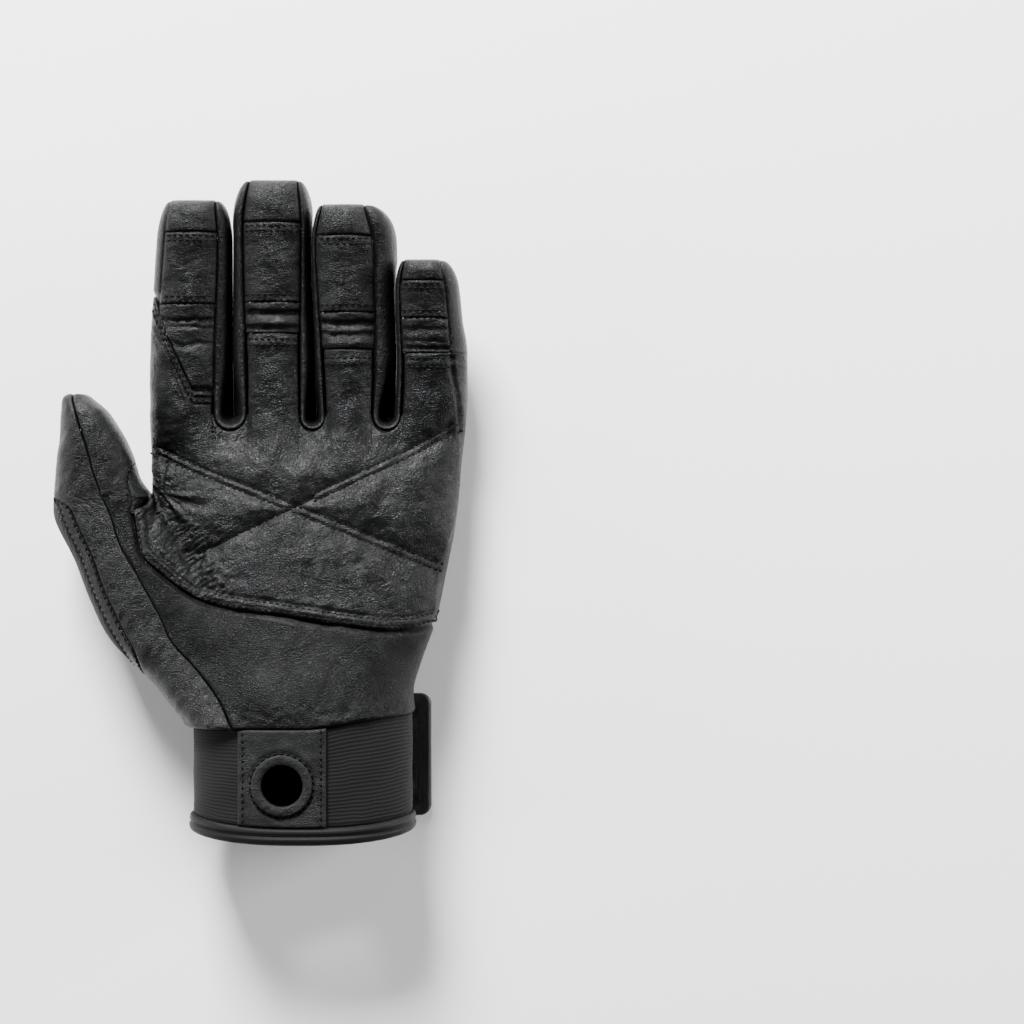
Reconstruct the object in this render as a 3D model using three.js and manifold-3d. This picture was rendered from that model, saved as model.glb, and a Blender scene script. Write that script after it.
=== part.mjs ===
// Climbing glove for a left hand, lying palm up on its back.
// Millimetres. +Z points up out of the palm, +Y to the fingertips, and the thumb is at -X.
// The origin is on the flat back of the hand, below the middle of the palm.
// Every panel is one sheet of leather or cloth: its outer face is worked out first, as a mesh of
// four-sided cells, and then gets its thickness inwards.
import * as THREE from 'three'
import { mergeVertices } from 'three/addons/utils/BufferGeometryUtils.js'
import Module from 'manifold-3d'

const wasm = await Module()
wasm.setup()

// Driving sizes of the hand
const PALM_LENGTH = 103
const PALM_WIDTH = 113
const PALM_DEPTH = 34
const FINGER_DEPTH = 27
const FINGER_RISE = 15
const INDEX_LENGTH = 80.3
const MIDDLE_LENGTH = 87.3
const RING_LENGTH = 78.9
const LITTLE_LENGTH = 59.6
const THUMB_LENGTH = 36.4
const THUMB_REACH = 34
const THUMB_DEPTH = 27

// Driving sizes of the cuff
const CUFF_WIDTH = 76.9
const CUFF_DEPTH = 44
const CUFF_HEIGHT = 40
const CUFF_BOW = 4
const CUFF_SHIFT = -1
const HEM_HEIGHT = 6
const HEM_THICKNESS = 3.6
const CLIP_TAB_WIDTH = 30.8
const CLIP_HOLE_DIAMETER = 14.6
const CLIP_RING_WIDTH = 3.2
const CLIP_RING_HEIGHT = 1.2
const STRAP_WIDTH = 44
const STRAP_THICKNESS = 2
const PULL_TAB_REACH = 6
const PULL_TAB_THICKNESS = 2.8
const PULL_TAB_CORNER = 4
const STRAP_CORNER = 3
const CUT_CORNER = 0.5

// Thicknesses, seams and quilting
const LEATHER = 1.2
const CLOTH = 1.2
const KNIT = 1.6
const SEAM_GAP = 0.4
const RIM_WIDTH = 4.5
const BACK_SEAM = 4.5
const WRIST_RISE = 5
const HEM_PROUD = 1.2
const QUILT_DEPTH = 0.9
const QUILT_WIDTH = 3
const CREASE_DEPTH = 0.9

// How square the sections are: 2 is an ellipse, more is squarer
const PALM_SQUARE = 2.6
const BACK_SQUARE = 3
const TIP_SQUARE = 3
const CUFF_SQUARE = 2.5
const BACK_CUFF_SQUARE = 3.2

// Sections of the palm, from the wrist to the knuckles. along is a share of the palm length.
// left and right are shares of the palm width; mid, top and low are shares of the palm depth.
// Where cuff is true they are shares of the cuff's width and depth instead.
const PALM_SECTIONS = [
  { along: -0.74, left: -0.52, right: 0.516, mid: 0.57, top: 1.1, low: 0.08, cuff: true },
  { along: -0.69, left: -0.528, right: 0.52, mid: 0.57, top: 1.1, low: 0.08, cuff: true },
  { along: -0.58, left: -0.394, right: 0.335, mid: 0.7, top: 1.36, low: 0.09, cuff: false },
  { along: -0.48, left: -0.42, right: 0.36, mid: 0.66, top: 1.27, low: 0.02, cuff: false },
  { along: -0.344, left: -0.444, right: 0.404, mid: 0.62, top: 1.17, low: -0.05, cuff: false },
  { along: -0.207, left: -0.462, right: 0.431, mid: 0.59, top: 1.1, low: -0.06, cuff: false },
  { along: -0.069, left: -0.473, right: 0.456, mid: 0.56, top: 1.05, low: -0.06, cuff: false },
  { along: 0.069, left: -0.484, right: 0.474, mid: 0.53, top: 1.0, low: -0.06, cuff: false },
  { along: 0.207, left: -0.49, right: 0.484, mid: 0.47, top: 0.93, low: -0.06, cuff: false },
  { along: 0.31, left: -0.495, right: 0.495, mid: 0.43, top: 0.86, low: -0.05, cuff: false },
  { along: 0.414, left: -0.495, right: 0.502, mid: 0.43, top: 0.83, low: -0.02, cuff: false },
]

// Sections of the thumb, from the wrist to its tip. palm and thumb are shares of the palm length
// and of the thumb length. left and right are shares of the thumb's reach, from the palm's edge.
// mid is a share of the palm depth; up and down are shares of the thumb depth, from the middle.
// Where cuff is true, the columns are shares of the cuff's width and depth instead.
const THUMB_SECTIONS = [
  { palm: -0.74, thumb: 0, left: -0.519, right: -0.061, mid: 0.57, up: 0.52, down: 0.48, cuff: true },
  { palm: -0.69, thumb: 0, left: -0.537, right: -0.083, mid: 0.57, up: 0.51, down: 0.48, cuff: true },
  { palm: -0.65, thumb: 0, left: -0.575, right: -0.107, mid: 0.57, up: 0.47, down: 0.48, cuff: true },
  { palm: -0.548, thumb: 0, left: 0.029, right: 1.168, mid: 0.66, up: 0.73, down: 0.76, cuff: false },
  { palm: -0.412, thumb: 0, left: -0.391, right: 0.918, mid: 0.62, up: 0.69, down: 0.73, cuff: false },
  { palm: -0.274, thumb: 0, left: -0.609, right: 0.679, mid: 0.62, up: 0.66, down: 0.68, cuff: false },
  { palm: -0.137, thumb: 0, left: -0.771, right: 0.441, mid: 0.62, up: 0.63, down: 0.62, cuff: false },
  { palm: 0, thumb: 0, left: -0.974, right: 0.176, mid: 0.63, up: 0.58, down: 0.55, cuff: false },
  { palm: 0.078, thumb: 0, left: -0.986, right: 0.03, mid: 0.65, up: 0.55, down: 0.53, cuff: false },
  { palm: 0.078, thumb: 0.17, left: -0.965, right: -0.097, mid: 0.69, up: 0.53, down: 0.51, cuff: false },
  { palm: 0.078, thumb: 0.36, left: -0.941, right: -0.156, mid: 0.73, up: 0.51, down: 0.5, cuff: false },
  { palm: 0.078, thumb: 0.55, left: -0.909, right: -0.238, mid: 0.76, up: 0.49, down: 0.49, cuff: false },
  { palm: 0.078, thumb: 0.745, left: -0.897, right: -0.359, mid: 0.78, up: 0.46, down: 0.46, cuff: false },
  { palm: 0.078, thumb: 0.84, left: -0.885, right: -0.432, mid: 0.79, up: 0.42, down: 0.42, cuff: false },
  { palm: 0.078, thumb: 0.937, left: -0.876, right: -0.556, mid: 0.79, up: 0.33, down: 0.33, cuff: false },
  { palm: 0.078, thumb: 0.985, left: -0.835, right: -0.626, mid: 0.79, up: 0.23, down: 0.23, cuff: false },
  { palm: 0.078, thumb: 1, left: -0.76, right: -0.7, mid: 0.79, up: 0.13, down: 0.13, cuff: false },
]

// The thumb's long front seam, from the wrist to the tip: across is a share of the thumb's width
// at that height, from its left outline.
const THUMB_SEAM = [
  { palm: -0.7, thumb: 0, across: 0.52 },
  { palm: -0.6, thumb: 0, across: 0.55 },
  { palm: -0.507, thumb: 0, across: 0.55 },
  { palm: -0.41, thumb: 0, across: 0.52 },
  { palm: -0.33, thumb: 0, across: 0.54 },
  { palm: -0.243, thumb: 0, across: 0.53 },
  { palm: -0.168, thumb: 0, across: 0.515 },
  { palm: -0.078, thumb: 0, across: 0.51 },
  { palm: 0.004, thumb: 0, across: 0.56 },
  { palm: 0.078, thumb: 0.03, across: 0.545 },
  { palm: 0.078, thumb: 0.26, across: 0.515 },
  { palm: 0.078, thumb: 0.48, across: 0.46 },
  { palm: 0.078, thumb: 0.7, across: 0.41 },
  { palm: 0.078, thumb: 0.95, across: 0.42 },
]

// The seam of the palm patch, from the thumb crotch to the outer edge, as shares of palm width
// and palm length. It is where the patch ends and the heel of the hand begins.
const PATCH_SEAM = [
  { across: -0.525, along: 0.03 },
  { across: -0.517, along: -0.01 },
  { across: -0.498, along: -0.112 },
  { across: -0.442, along: -0.172 },
  { across: -0.375, along: -0.229 },
  { across: -0.301, along: -0.274 },
  { across: -0.215, along: -0.297 },
  { across: -0.101, along: -0.314 },
  { across: 0.013, along: -0.334 },
  { across: 0.127, along: -0.354 },
  { across: 0.241, along: -0.37 },
  { across: 0.33, along: -0.368 },
  { across: 0.404, along: -0.35 },
]

// The edge of the woven back, and of the strip beside it, at the thumb's outer side, from the
// wrist to the thumb. over is how far the cloth comes round to the palm side, as a share of the
// strip's width, less than nothing on the back; strip is the strip's width there, as a share too.
const BACK_EDGE = [
  { along: -0.7, over: -0.6, strip: 0.1 },
  { along: -0.58, over: -0.4, strip: 0.2 },
  { along: -0.5, over: 0, strip: 0.6 },
  { along: -0.42, over: 0.7, strip: 1 },
  { along: -0.2, over: 0.75, strip: 1 },
  { along: 0, over: 0.9, strip: 1 },
  { along: 0.05, over: 0.6, strip: 0.8 },
  { along: 0.085, over: -0.3, strip: 0.5 },
  { along: 0.15, over: -1.1, strip: 0.1 },
]

// Fingers: left and right seams as shares of the palm width, at the root, the middle joint, the
// tip seam and the top; cap, pad and patch are the places of the cross seams, as shares of the
// finger's length; split is how much of the gap to the next finger it fills; thick scales depth.
const FINGERS = [
  { name: 'index', length: INDEX_LENGTH, left: [-0.462, -0.458, -0.431, -0.412],
    right: [-0.288, -0.285, -0.268, -0.276], cap: 0.827, pad: 0.547, patch: 0.17, split: 0.5, thick: 1 },
  { name: 'middle', length: MIDDLE_LENGTH, left: [-0.185, -0.186, -0.188, -0.168],
    right: [-0.018, -0.019, -0.011, -0.022], cap: 0.793, pad: 0.511, patch: 0.389, split: 0.57, thick: 1 },
  { name: 'ring', length: RING_LENGTH, left: [0.06, 0.05, 0.036, 0.056],
    right: [0.206, 0.214, 0.211, 0.182], cap: 0.829, pad: 0.521, patch: 0.36, split: 0.75, thick: 0.98 },
  { name: 'little', length: LITTLE_LENGTH, left: [0.293, 0.301, 0.297, 0.309],
    right: [0.475, 0.456, 0.434, 0.417], cap: 0.847, pad: 0.654, patch: 0.453, split: 0, thick: 0.92 },
]
const SEAM_STATIONS = [0, 0.36, 0.82, 1]

// The crotches of the fingers and of the thumb, as shares of the palm length, and the leather wing
// on the index finger, as shares of that finger's length and width
const CROTCH_ALONG = 0.306
const NOTCH_ALONG = 0.078
const WING_TOP = 0.59
const WING_CORNER = 0.63

// The crossed stitch lines on the palm, each from one end to the other, as shares of palm width
// and palm length
const QUILT_LINES = [
  { fromAcross: -0.49, fromAlong: 0.242, toAcross: 0.43, toAlong: -0.165 },
  { fromAcross: 0.484, fromAlong: 0.318, toAcross: -0.33, toAlong: -0.113 },
]

// Small helpers
const clamp = (value, low, high) => Math.min(high, Math.max(low, value))
const mix = (a, b, share) => a + (b - a) * share
const span = (count) => Array.from({ length: count + 1 }, (_, i) => i / count)
const smoothstep = (low, high, value) => {
  const t = clamp((value - low) / (high - low), 0, 1)
  return t * t * (3 - 2 * t)
}
const smoothMax = (a, b, width) => {
  const share = Math.max(width - Math.abs(a - b), 0) / width
  return Math.max(a, b) + (share * share * width) / 4
}
const dome = (u, square) => Math.pow(Math.max(1 - Math.pow(Math.abs(u), square), 0), 1 / square)

// A smooth curve through one column of a table, whose rows run upwards in the key column
function follow(rows, key, column) {
  const x = rows.map((row) => row[key])
  const y = rows.map((row) => row[column])
  const last = x.length - 1
  const slope = x.map((_, i) => {
    const a = Math.max(i - 1, 0)
    const b = Math.min(i + 1, last)
    return (y[b] - y[a]) / (x[b] - x[a])
  })
  return (value) => {
    const v = clamp(value, x[0], x[last])
    let i = 0
    while (i < last - 1 && v > x[i + 1]) i += 1
    const h = x[i + 1] - x[i]
    const t = (v - x[i]) / h
    const a = y[i] * (1 + 2 * t) * (1 - t) ** 2 + slope[i] * h * t * (1 - t) ** 2
    const b = y[i + 1] * t * t * (3 - 2 * t) + slope[i + 1] * h * t * t * (t - 1)
    return a + b
  }
}

// A table's rows as real sizes: every tube has left and right outlines, a middle and two heights
const curves = (rows, columns) =>
  Object.fromEntries(columns.map((column) => [column, follow(rows, 'y', column)]))

const palm = curves(
  PALM_SECTIONS.map((row) => {
    const width = row.cuff ? CUFF_WIDTH : PALM_WIDTH
    const depth = row.cuff ? CUFF_DEPTH : PALM_DEPTH
    const shift = row.cuff ? CUFF_SHIFT : 0
    return {
      y: row.along * PALM_LENGTH,
      left: shift + row.left * width,
      right: shift + row.right * width,
      mid: row.mid * depth,
      top: row.top * depth,
      low: row.low * depth,
    }
  }),
  ['left', 'right', 'mid', 'top', 'low'],
)

const PALM_EDGE = -0.49 * PALM_WIDTH
const thumbY = (row) => row.palm * PALM_LENGTH + row.thumb * THUMB_LENGTH
const thumb = curves(
  THUMB_SECTIONS.map((row) => {
    const width = row.cuff ? CUFF_WIDTH : THUMB_REACH
    const start = row.cuff ? CUFF_SHIFT : PALM_EDGE
    const mid = row.mid * (row.cuff ? CUFF_DEPTH : PALM_DEPTH)
    const depth = row.cuff ? CUFF_DEPTH : THUMB_DEPTH
    return {
      y: thumbY(row),
      left: start + row.left * width,
      right: start + row.right * width,
      mid,
      top: mid + row.up * depth,
      low: mid - row.down * depth,
    }
  }),
  ['left', 'right', 'mid', 'top', 'low'],
)
const NOTCH_Y = NOTCH_ALONG * PALM_LENGTH
const THUMB_TIP_Y = NOTCH_Y + THUMB_LENGTH
const WRIST_Y = -0.7 * PALM_LENGTH
const CROTCH_Y = CROTCH_ALONG * PALM_LENGTH

// Height of a tube's front or back face over a point, falling away steeply outside its outline
const EDGE_FALL = 2 * PALM_DEPTH
function tubeHeight(tube, x, y, side, square) {
  const left = tube.left(y)
  const right = tube.right(y)
  const mid = tube.mid(y)
  const u = Math.abs((2 * x - left - right) / (right - left))
  if (u >= 1) return mid - side * (u - 1) * EDGE_FALL
  const reach = side > 0 ? tube.top(y) - mid : tube.low(y) - mid
  return mid + reach * dome(u, square)
}

// Palm and thumb together, blended where they meet
const WEB_BLEND = 0.3 * PALM_DEPTH
const WRIST_BLEND = 0.03 * PALM_DEPTH
function handHeight(x, y, side) {
  const blend = mix(WRIST_BLEND, WEB_BLEND, smoothstep(0.9 * WRIST_Y, 0.4 * WRIST_Y, y))
  const square = side > 0 ? PALM_SQUARE : BACK_SQUARE
  const a = tubeHeight(palm, x, y, side, square)
  const b = tubeHeight(thumb, x, y, side, square)
  const height = side * smoothMax(side * a, side * b, blend)
  return side > 0 ? height : Math.max(height, 0)
}

// Fingers with their real sizes
const fingers = FINGERS.map((finger) => {
  const rows = SEAM_STATIONS.map((station, i) => ({
    y: CROTCH_Y + station * finger.length,
    left: finger.left[i] * PALM_WIDTH,
    right: finger.right[i] * PALM_WIDTH,
  }))
  const top = CROTCH_Y + finger.length
  const capY = CROTCH_Y + finger.cap * finger.length
  const share = (y) => clamp((y - CROTCH_Y) / finger.length, 0, 1)
  const round = (y) => clamp((y - capY) / (top - capY), 0, 1)
  return {
    ...finger,
    ...curves(rows, ['left', 'right']),
    top,
    capY,
    padY: CROTCH_Y + finger.pad * finger.length,
    patchY: CROTCH_Y + finger.patch * finger.length,
    mid: (y) => 0.43 * PALM_DEPTH + FINGER_RISE * share(y) ** 1.6,
    full: (y) => (finger.thick * FINGER_DEPTH * (1 - 0.12 * share(y))) / 2,
    half(y) {
      return this.full(y) * dome(round(y), TIP_SQUARE)
    },
  }
})
const [index, middle, ring, little] = fingers

// The outer outlines of the first and the last finger, rounded in towards the top. Their side
// panels show from the front by these shares of the palm width.
const INDEX_SIDE = 0.032
const LITTLE_SIDE = 0.045
const tipRound = (finger, y) => dome(clamp((y - finger.capY) / (finger.top - finger.capY), 0, 1), 2.2)
const outerLeft = (y) => {
  const side = index.left(y) - INDEX_SIDE * PALM_WIDTH
  const edge = mix(palm.left(y), side, smoothstep(CROTCH_Y, index.padY, y))
  return mix(index.left(y), edge, tipRound(index, y))
}
const outerRight = (y) => {
  const side = little.right(y) + LITTLE_SIDE * PALM_WIDTH
  const edge = mix(palm.right(y), side, smoothstep(little.patchY, little.padY, y))
  return mix(little.right(y), edge, tipRound(little, y))
}

// Height of one finger's face: it drops a little to its seams, and rounds right over at an outer side
const SEAM_DROP = 0.28
function fingerHeight(finger, x, y, side) {
  const left = finger.left(y)
  const right = finger.right(y)
  const centre = (left + right) / 2
  const u = (2 * (x - centre)) / (right - left)
  let share = 1 - SEAM_DROP * Math.abs(u) ** 2.5
  if (finger === index && u < 0) share = dome((centre - x) / (centre - outerLeft(y)), PALM_SQUARE)
  if (finger === little && u > 0) share = dome((x - centre) / (outerRight(y) - centre), PALM_SQUARE)
  const creases = [finger.patchY, mix(finger.patchY, finger.padY, 0.5)]
  const fold = side > 0 ? creases.reduce((sum, at) => sum + Math.exp(-(((y - at) / 1.6) ** 2)), 0) : 0
  return finger.mid(y) + side * finger.half(y) * share - CREASE_DEPTH * fold
}

// Height over the row of fingers: the finger under the point, or a straight line across a gap
function fingersHeight(x, y, side) {
  for (let i = 0; i < fingers.length; i += 1) {
    const finger = fingers[i]
    const next = fingers[i + 1]
    if (!next || x <= finger.right(y)) return fingerHeight(finger, x, y, side)
    if (x < next.left(y)) {
      const a = fingerHeight(finger, finger.right(y), y, side)
      const b = fingerHeight(next, next.left(y), y, side)
      return mix(a, b, (x - finger.right(y)) / (next.left(y) - finger.right(y)))
    }
  }
}

// The stitched lines press a shallow valley into the padded palm
function quilting(x, y) {
  return QUILT_LINES.reduce((sum, line) => {
    const ax = line.fromAcross * PALM_WIDTH
    const ay = line.fromAlong * PALM_LENGTH
    const bx = line.toAcross * PALM_WIDTH
    const by = line.toAlong * PALM_LENGTH
    const length = Math.hypot(bx - ax, by - ay)
    const away = ((x - ax) * (by - ay) - (y - ay) * (bx - ax)) / length
    return Math.max(sum, QUILT_DEPTH * Math.exp(-((away / QUILT_WIDTH) ** 2)))
  }, 0)
}

// The whole glove's front or back height
function height(x, y, side) {
  const onThumb = 2 * x < thumb.right(y) + palm.left(y)
  const rising = smoothstep(CROTCH_Y - 0.16 * PALM_LENGTH, CROTCH_Y + 0.08 * PALM_LENGTH, y)
  const fingered = onThumb ? 0 : rising
  const hand = fingered < 1 ? handHeight(x, y, side) : 0
  const rows = fingered > 0 ? fingersHeight(x, y, side) : 0
  return mix(hand, rows, fingered)
}
const frontPoint = (x, y) => [x, y, height(x, y, 1)]
const backPoint = (x, y) => [x, y, height(x, y, -1)]
const patchPoint = (x, y) => [x, y, height(x, y, 1) - quilting(x, y)]

// Sheets: a block is a grid of points, rows of columns. The outer face looks the way that the
// columns' direction crossed with the rows' direction points; a flipped block looks the other way.
const FINISHES = {
  leather: new THREE.MeshStandardMaterial({ color: 0x2a2b2d, roughness: 0.55, metalness: 0 }),
  woven: new THREE.MeshStandardMaterial({ color: 0x1f2022, roughness: 0.85, metalness: 0 }),
  knit: new THREE.MeshStandardMaterial({ color: 0x1b1c1e, roughness: 0.9, metalness: 0 }),
  hem: new THREE.MeshStandardMaterial({ color: 0x18191b, roughness: 0.7, metalness: 0 }),
  rubber: new THREE.MeshStandardMaterial({ color: 0x131415, roughness: 0.5, metalness: 0 }),
}
const flip = (block) => block.map((row) => [...row].reverse())
const INSET = SEAM_GAP / 2

// One outer face from its blocks, with the points that they share welded
function weld(blocks) {
  const points = []
  const cells = []
  const found = new Map()
  const number = (point) => {
    const key = point.map((value) => Math.round(value * 1000)).join(' ')
    if (!found.has(key)) {
      found.set(key, points.length)
      points.push(point)
    }
    return found.get(key)
  }
  blocks.forEach((block) => {
    const ids = block.map((row) => row.map(number))
    for (let r = 0; r + 1 < ids.length; r += 1) {
      for (let c = 0; c + 1 < ids[r].length; c += 1) {
        cells.push([ids[r][c], ids[r][c + 1], ids[r + 1][c + 1], ids[r + 1][c]])
      }
    }
  })
  return { points, cells }
}

// Mean outward direction at every point of a face, and the edges that only one cell has
function describe(face) {
  const normals = face.points.map(() => new THREE.Vector3())
  const edges = new Map()
  const at = (id) => new THREE.Vector3(...face.points[id])
  face.cells.forEach((cell) => {
    const across = at(cell[2]).sub(at(cell[0]))
    const other = at(cell[3]).sub(at(cell[1]))
    const normal = across.cross(other)
    cell.forEach((id, k) => {
      normals[id].add(normal)
      const next = cell[(k + 1) % 4]
      if (edges.has(`${next} ${id}`)) edges.delete(`${next} ${id}`)
      else if (next !== id) edges.set(`${id} ${next}`, [id, next])
    })
  })
  normals.forEach((normal) => normal.normalize())
  const rim = [...edges.values()]
  return { ...face, normals, rim, onRim: new Set(rim.flat()) }
}

// Where panels meet, their rims lean the same way, so that their edges stay parallel
const MEETING = 15 * SEAM_GAP
function mitre(faces) {
  const rims = faces.flatMap((face, owner) =>
    [...face.onRim].map((id) => ({ owner, at: face.points[id], normal: face.normals[id].clone() })))
  faces.forEach((face, owner) => {
    face.onRim.forEach((id) => {
      const here = face.points[id]
      const sum = new THREE.Vector3()
      rims.forEach((other) => {
        if (other.owner === owner) return
        const away = Math.hypot(...here.map((value, k) => value - other.at[k]))
        if (away < MEETING) sum.addScaledVector(other.normal, 1 / (away * away + SEAM_GAP * SEAM_GAP) ** 2)
      })
      if (sum.length() > 0) face.normals[id].add(sum.normalize()).normalize()
    })
  })
}

// The closed solid between an outer face and its inner points
function solid(face, inner) {
  const triangles = []
  const quad = (a, b, c, d) => triangles.push(a, b, c, a, c, d)
  const outer = face.points.map((point) => new THREE.Vector3(...point))
  face.cells.forEach(([a, b, c, d]) => {
    quad(outer[a], outer[b], outer[c], outer[d])
    quad(inner[a], inner[d], inner[c], inner[b])
  })
  face.rim.forEach(([a, b]) => quad(outer[b], outer[a], inner[a], inner[b]))
  const real = []
  for (let i = 0; i < triangles.length; i += 3) {
    const [a, b, c] = triangles.slice(i, i + 3)
    if (a.distanceTo(b) > 2e-3 && b.distanceTo(c) > 2e-3 && c.distanceTo(a) > 2e-3) real.push(a, b, c)
  }
  return new THREE.BufferGeometry().setFromPoints(real)
}

// Geometry to a solid that can be cut, and back
function toManifold(geometry) {
  const bare = geometry.clone()
  bare.deleteAttribute('normal')
  bare.deleteAttribute('uv')
  const merged = mergeVertices(bare, 1e-3)
  return new wasm.Manifold(new wasm.Mesh({
    numProp: 3,
    vertProperties: new Float32Array(merged.attributes.position.array),
    triVerts: new Uint32Array(merged.index.array),
  }))
}
function toGeometry(manifold) {
  const mesh = manifold.getMesh()
  const geometry = new THREE.BufferGeometry()
  geometry.setAttribute('position', new THREE.BufferAttribute(new Float32Array(mesh.vertProperties), 3))
  geometry.setIndex(new THREE.BufferAttribute(new Uint32Array(mesh.triVerts), 1))
  return geometry
}

const glove = new THREE.Group()
function add(name, geometry, finish) {
  const mesh = new THREE.Mesh(geometry, FINISHES[finish])
  mesh.name = name
  glove.add(mesh)
}

const panels = []
const panel = (name, finish, ...blocks) => panels.push({ name, finish, blocks })

// A point by its distance inwards from an outline: on the palm side if positive, else on the back
function rimPoint(outline, inwards, y, distance) {
  const x = outline(y) + inwards * Math.abs(distance)
  return distance > 0 ? frontPoint(x, y) : backPoint(x, y)
}
const thumbRim = (y, distance) => rimPoint(thumb.left, 1, y, distance)
const radialRim = (y, distance) => rimPoint(outerLeft, 1, y, distance)
const ulnarRim = (y, distance) => rimPoint(outerRight, -1, y, distance)

// Distances between two, crowded where the outline turns over. bend is the outline's half width.
function around(from, to, bend, count) {
  const angle = (distance) => Math.sign(distance) * Math.acos(1 - clamp(Math.abs(distance) / bend, 0, 2))
  return span(count).map((s) => {
    const turn = mix(angle(from), angle(to), s)
    return Math.sign(turn) * bend * (1 - Math.cos(turn))
  })
}

// The gaps between fingers, each with an arc at its bottom
const gaps = [0, 1, 2].map((i) => {
  const a = fingers[i]
  const b = fingers[i + 1]
  const rootY = CROTCH_Y + (b.left(CROTCH_Y) - a.right(CROTCH_Y)) / 2
  const left = a.right(rootY)
  const right = b.left(rootY)
  return { a, b, left, right, centre: (left + right) / 2, radius: (right - left) / 2, rootY }
})
const ROOT_Y = Math.max(...gaps.map((gap) => gap.rootY)) + SEAM_GAP
const ARC_STEPS = 5
const PALM_STEPS = [5, 4, 4, 5]
const BACK_STEPS = [3, 2, 2, 3]

// Back seams of the hand and of the outer fingers
const backLeft = (y) => mix(palm.left(y) + BACK_SEAM, index.left(y), smoothstep(ROOT_Y, index.padY, y))
const backRight = (y) => mix(palm.right(y) - BACK_SEAM, little.right(y), smoothstep(ROOT_Y, little.padY, y))

// Columns across the hand at the finger roots. Each has its place, the lobe that it lies in, and
// how far the edge dips below the root line in the arc of a gap.
function rootColumns(left, right, lobeSteps) {
  const columns = []
  fingers.forEach((finger, i) => {
    const before = gaps[i - 1]
    const gap = gaps[i]
    const from = before ? before.right + INSET : left
    const to = gap ? gap.left - INSET : right
    span(lobeSteps[i]).forEach((s) => {
      const bent = i === 0 ? mix(s, 1 - Math.cos((Math.PI / 2) * s), 0.5) : s
      const share = i === 3 ? mix(s, Math.sin((Math.PI / 2) * s), 0.5) : bent
      columns.push({ lobe: i, x: mix(from, to, share), dip: 0 })
    })
    if (!gap) return
    span(ARC_STEPS).slice(1, -1).forEach((s) => {
      const reach = gap.radius + 1.5 * INSET
      const x = gap.centre - reach * Math.cos(Math.PI * s)
      columns.push({ lobe: -1, x, dip: reach * Math.sin(Math.PI * s) + ROOT_Y - gap.rootY })
    })
  })
  return columns
}

// Palm patch: from its curved seam up to the finger roots, then a lobe on each finger
const seamTable = PATCH_SEAM.map((row, i) => ({ ...row, share: i / (PATCH_SEAM.length - 1) }))
const seamAcross = follow(seamTable, 'share', 'across')
const seamAlong = follow(seamTable, 'share', 'along')
const patchSeam = (s) => [seamAcross(s) * PALM_WIDTH, seamAlong(s) * PALM_LENGTH]
const PATCH_ROWS = 11
const WRAP = around(0, -BACK_SEAM + 2 * INSET, PALM_DEPTH / 2, 2).slice(1)

// Where the patch's edge has come from its seam to the outline, at the thumb crotch
const CROTCH_END = NOTCH_Y - 0.02 * PALM_LENGTH
function patchEdge(y) {
  const [seamX, seamY] = patchSeam(0)
  return mix(seamX, outerLeft(y), smoothstep(seamY, CROTCH_END, y))
}

function wingEdge(x) {
  const corner = mix(index.left(index.patchY), index.right(index.patchY), WING_CORNER)
  const rise = clamp((corner - x) / (corner - outerLeft(index.patchY)), 0, 1)
  return mix(index.patchY, CROTCH_Y + WING_TOP * INDEX_LENGTH, rise)
}
const WING_GAP = 9 * INSET
const lobeTop = (i, x) => (i === 0 ? wingEdge(x) : fingers[i].patchY)

function lobeBlock(i, xs, rows, point) {
  const finger = fingers[i]
  const left = (y) => (i === 0 ? outerLeft(y) : finger.left(y) + INSET)
  const right = (y) => (i === 3 ? outerRight(y) : finger.right(y) - INSET)
  return span(rows).map((t) => xs.map((x) => {
    const share = (x - left(ROOT_Y)) / (right(ROOT_Y) - left(ROOT_Y))
    const y = mix(ROOT_Y, lobeTop(i, x) - INSET, t)
    return point(mix(left(y), right(y), share), y, t)
  }))
}

function palmPatch() {
  const columns = rootColumns(outerLeft(ROOT_Y), outerRight(ROOT_Y), PALM_STEPS)
  const width = outerRight(ROOT_Y) - outerLeft(ROOT_Y)
  const last = columns.length - 1
  const body = span(PATCH_ROWS).map((t) => {
    const line = columns.map((column, c) => {
      const [seamX, seamY] = patchSeam(c / last)
      const y = mix(seamY + INSET, ROOT_Y - column.dip, t)
      const share = (column.x - outerLeft(ROOT_Y)) / width
      const straight = mix(outerLeft(y), outerRight(y), share)
      const x = mix(seamX + INSET * (1 - c / last), straight, smoothstep(seamY, CROTCH_END, y))
      return share > 0 && share < 1 ? patchPoint(x, y) : frontPoint(x, y)
    })
    const y = mix(patchSeam(1)[1] + INSET, ROOT_Y, t)
    return [...line, ...WRAP.map((distance) => ulnarRim(y, distance))]
  })
  const lobes = fingers.map((finger, i) => {
    const xs = columns.filter((column) => column.lobe === i).map((column) => column.x)
    const block = lobeBlock(i, xs, i === 0 ? 6 : 4, frontPoint)
    if (i < 3) return block
    return block.map((row) => {
      const y = row[row.length - 1][1]
      return [...row, ...WRAP.map((distance) => ulnarRim(y, distance))]
    })
  })
  lobes.forEach((lobe, i) => {
    const start = columns.findIndex((column) => column.lobe === i)
    lobe[0].forEach((_, c) => { lobe[0][c] = body[PATCH_ROWS][start + c] })
  })
  panel('palm_patch', 'leather', body, ...lobes)
}

// The thumb's front seam and the wrist edge
const thumbSeamTable = THUMB_SEAM.map((row) => {
  const y = thumbY(row)
  return { y, x: mix(thumb.left(y), thumb.right(y), row.across) }
})
const thumbSeamX = follow(thumbSeamTable, 'y', 'x')
const wristEdge = (x) =>
  WRIST_Y + WRIST_RISE * smoothstep(CUFF_SHIFT, CUFF_SHIFT + 0.55 * CUFF_WIDTH, x)

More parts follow.
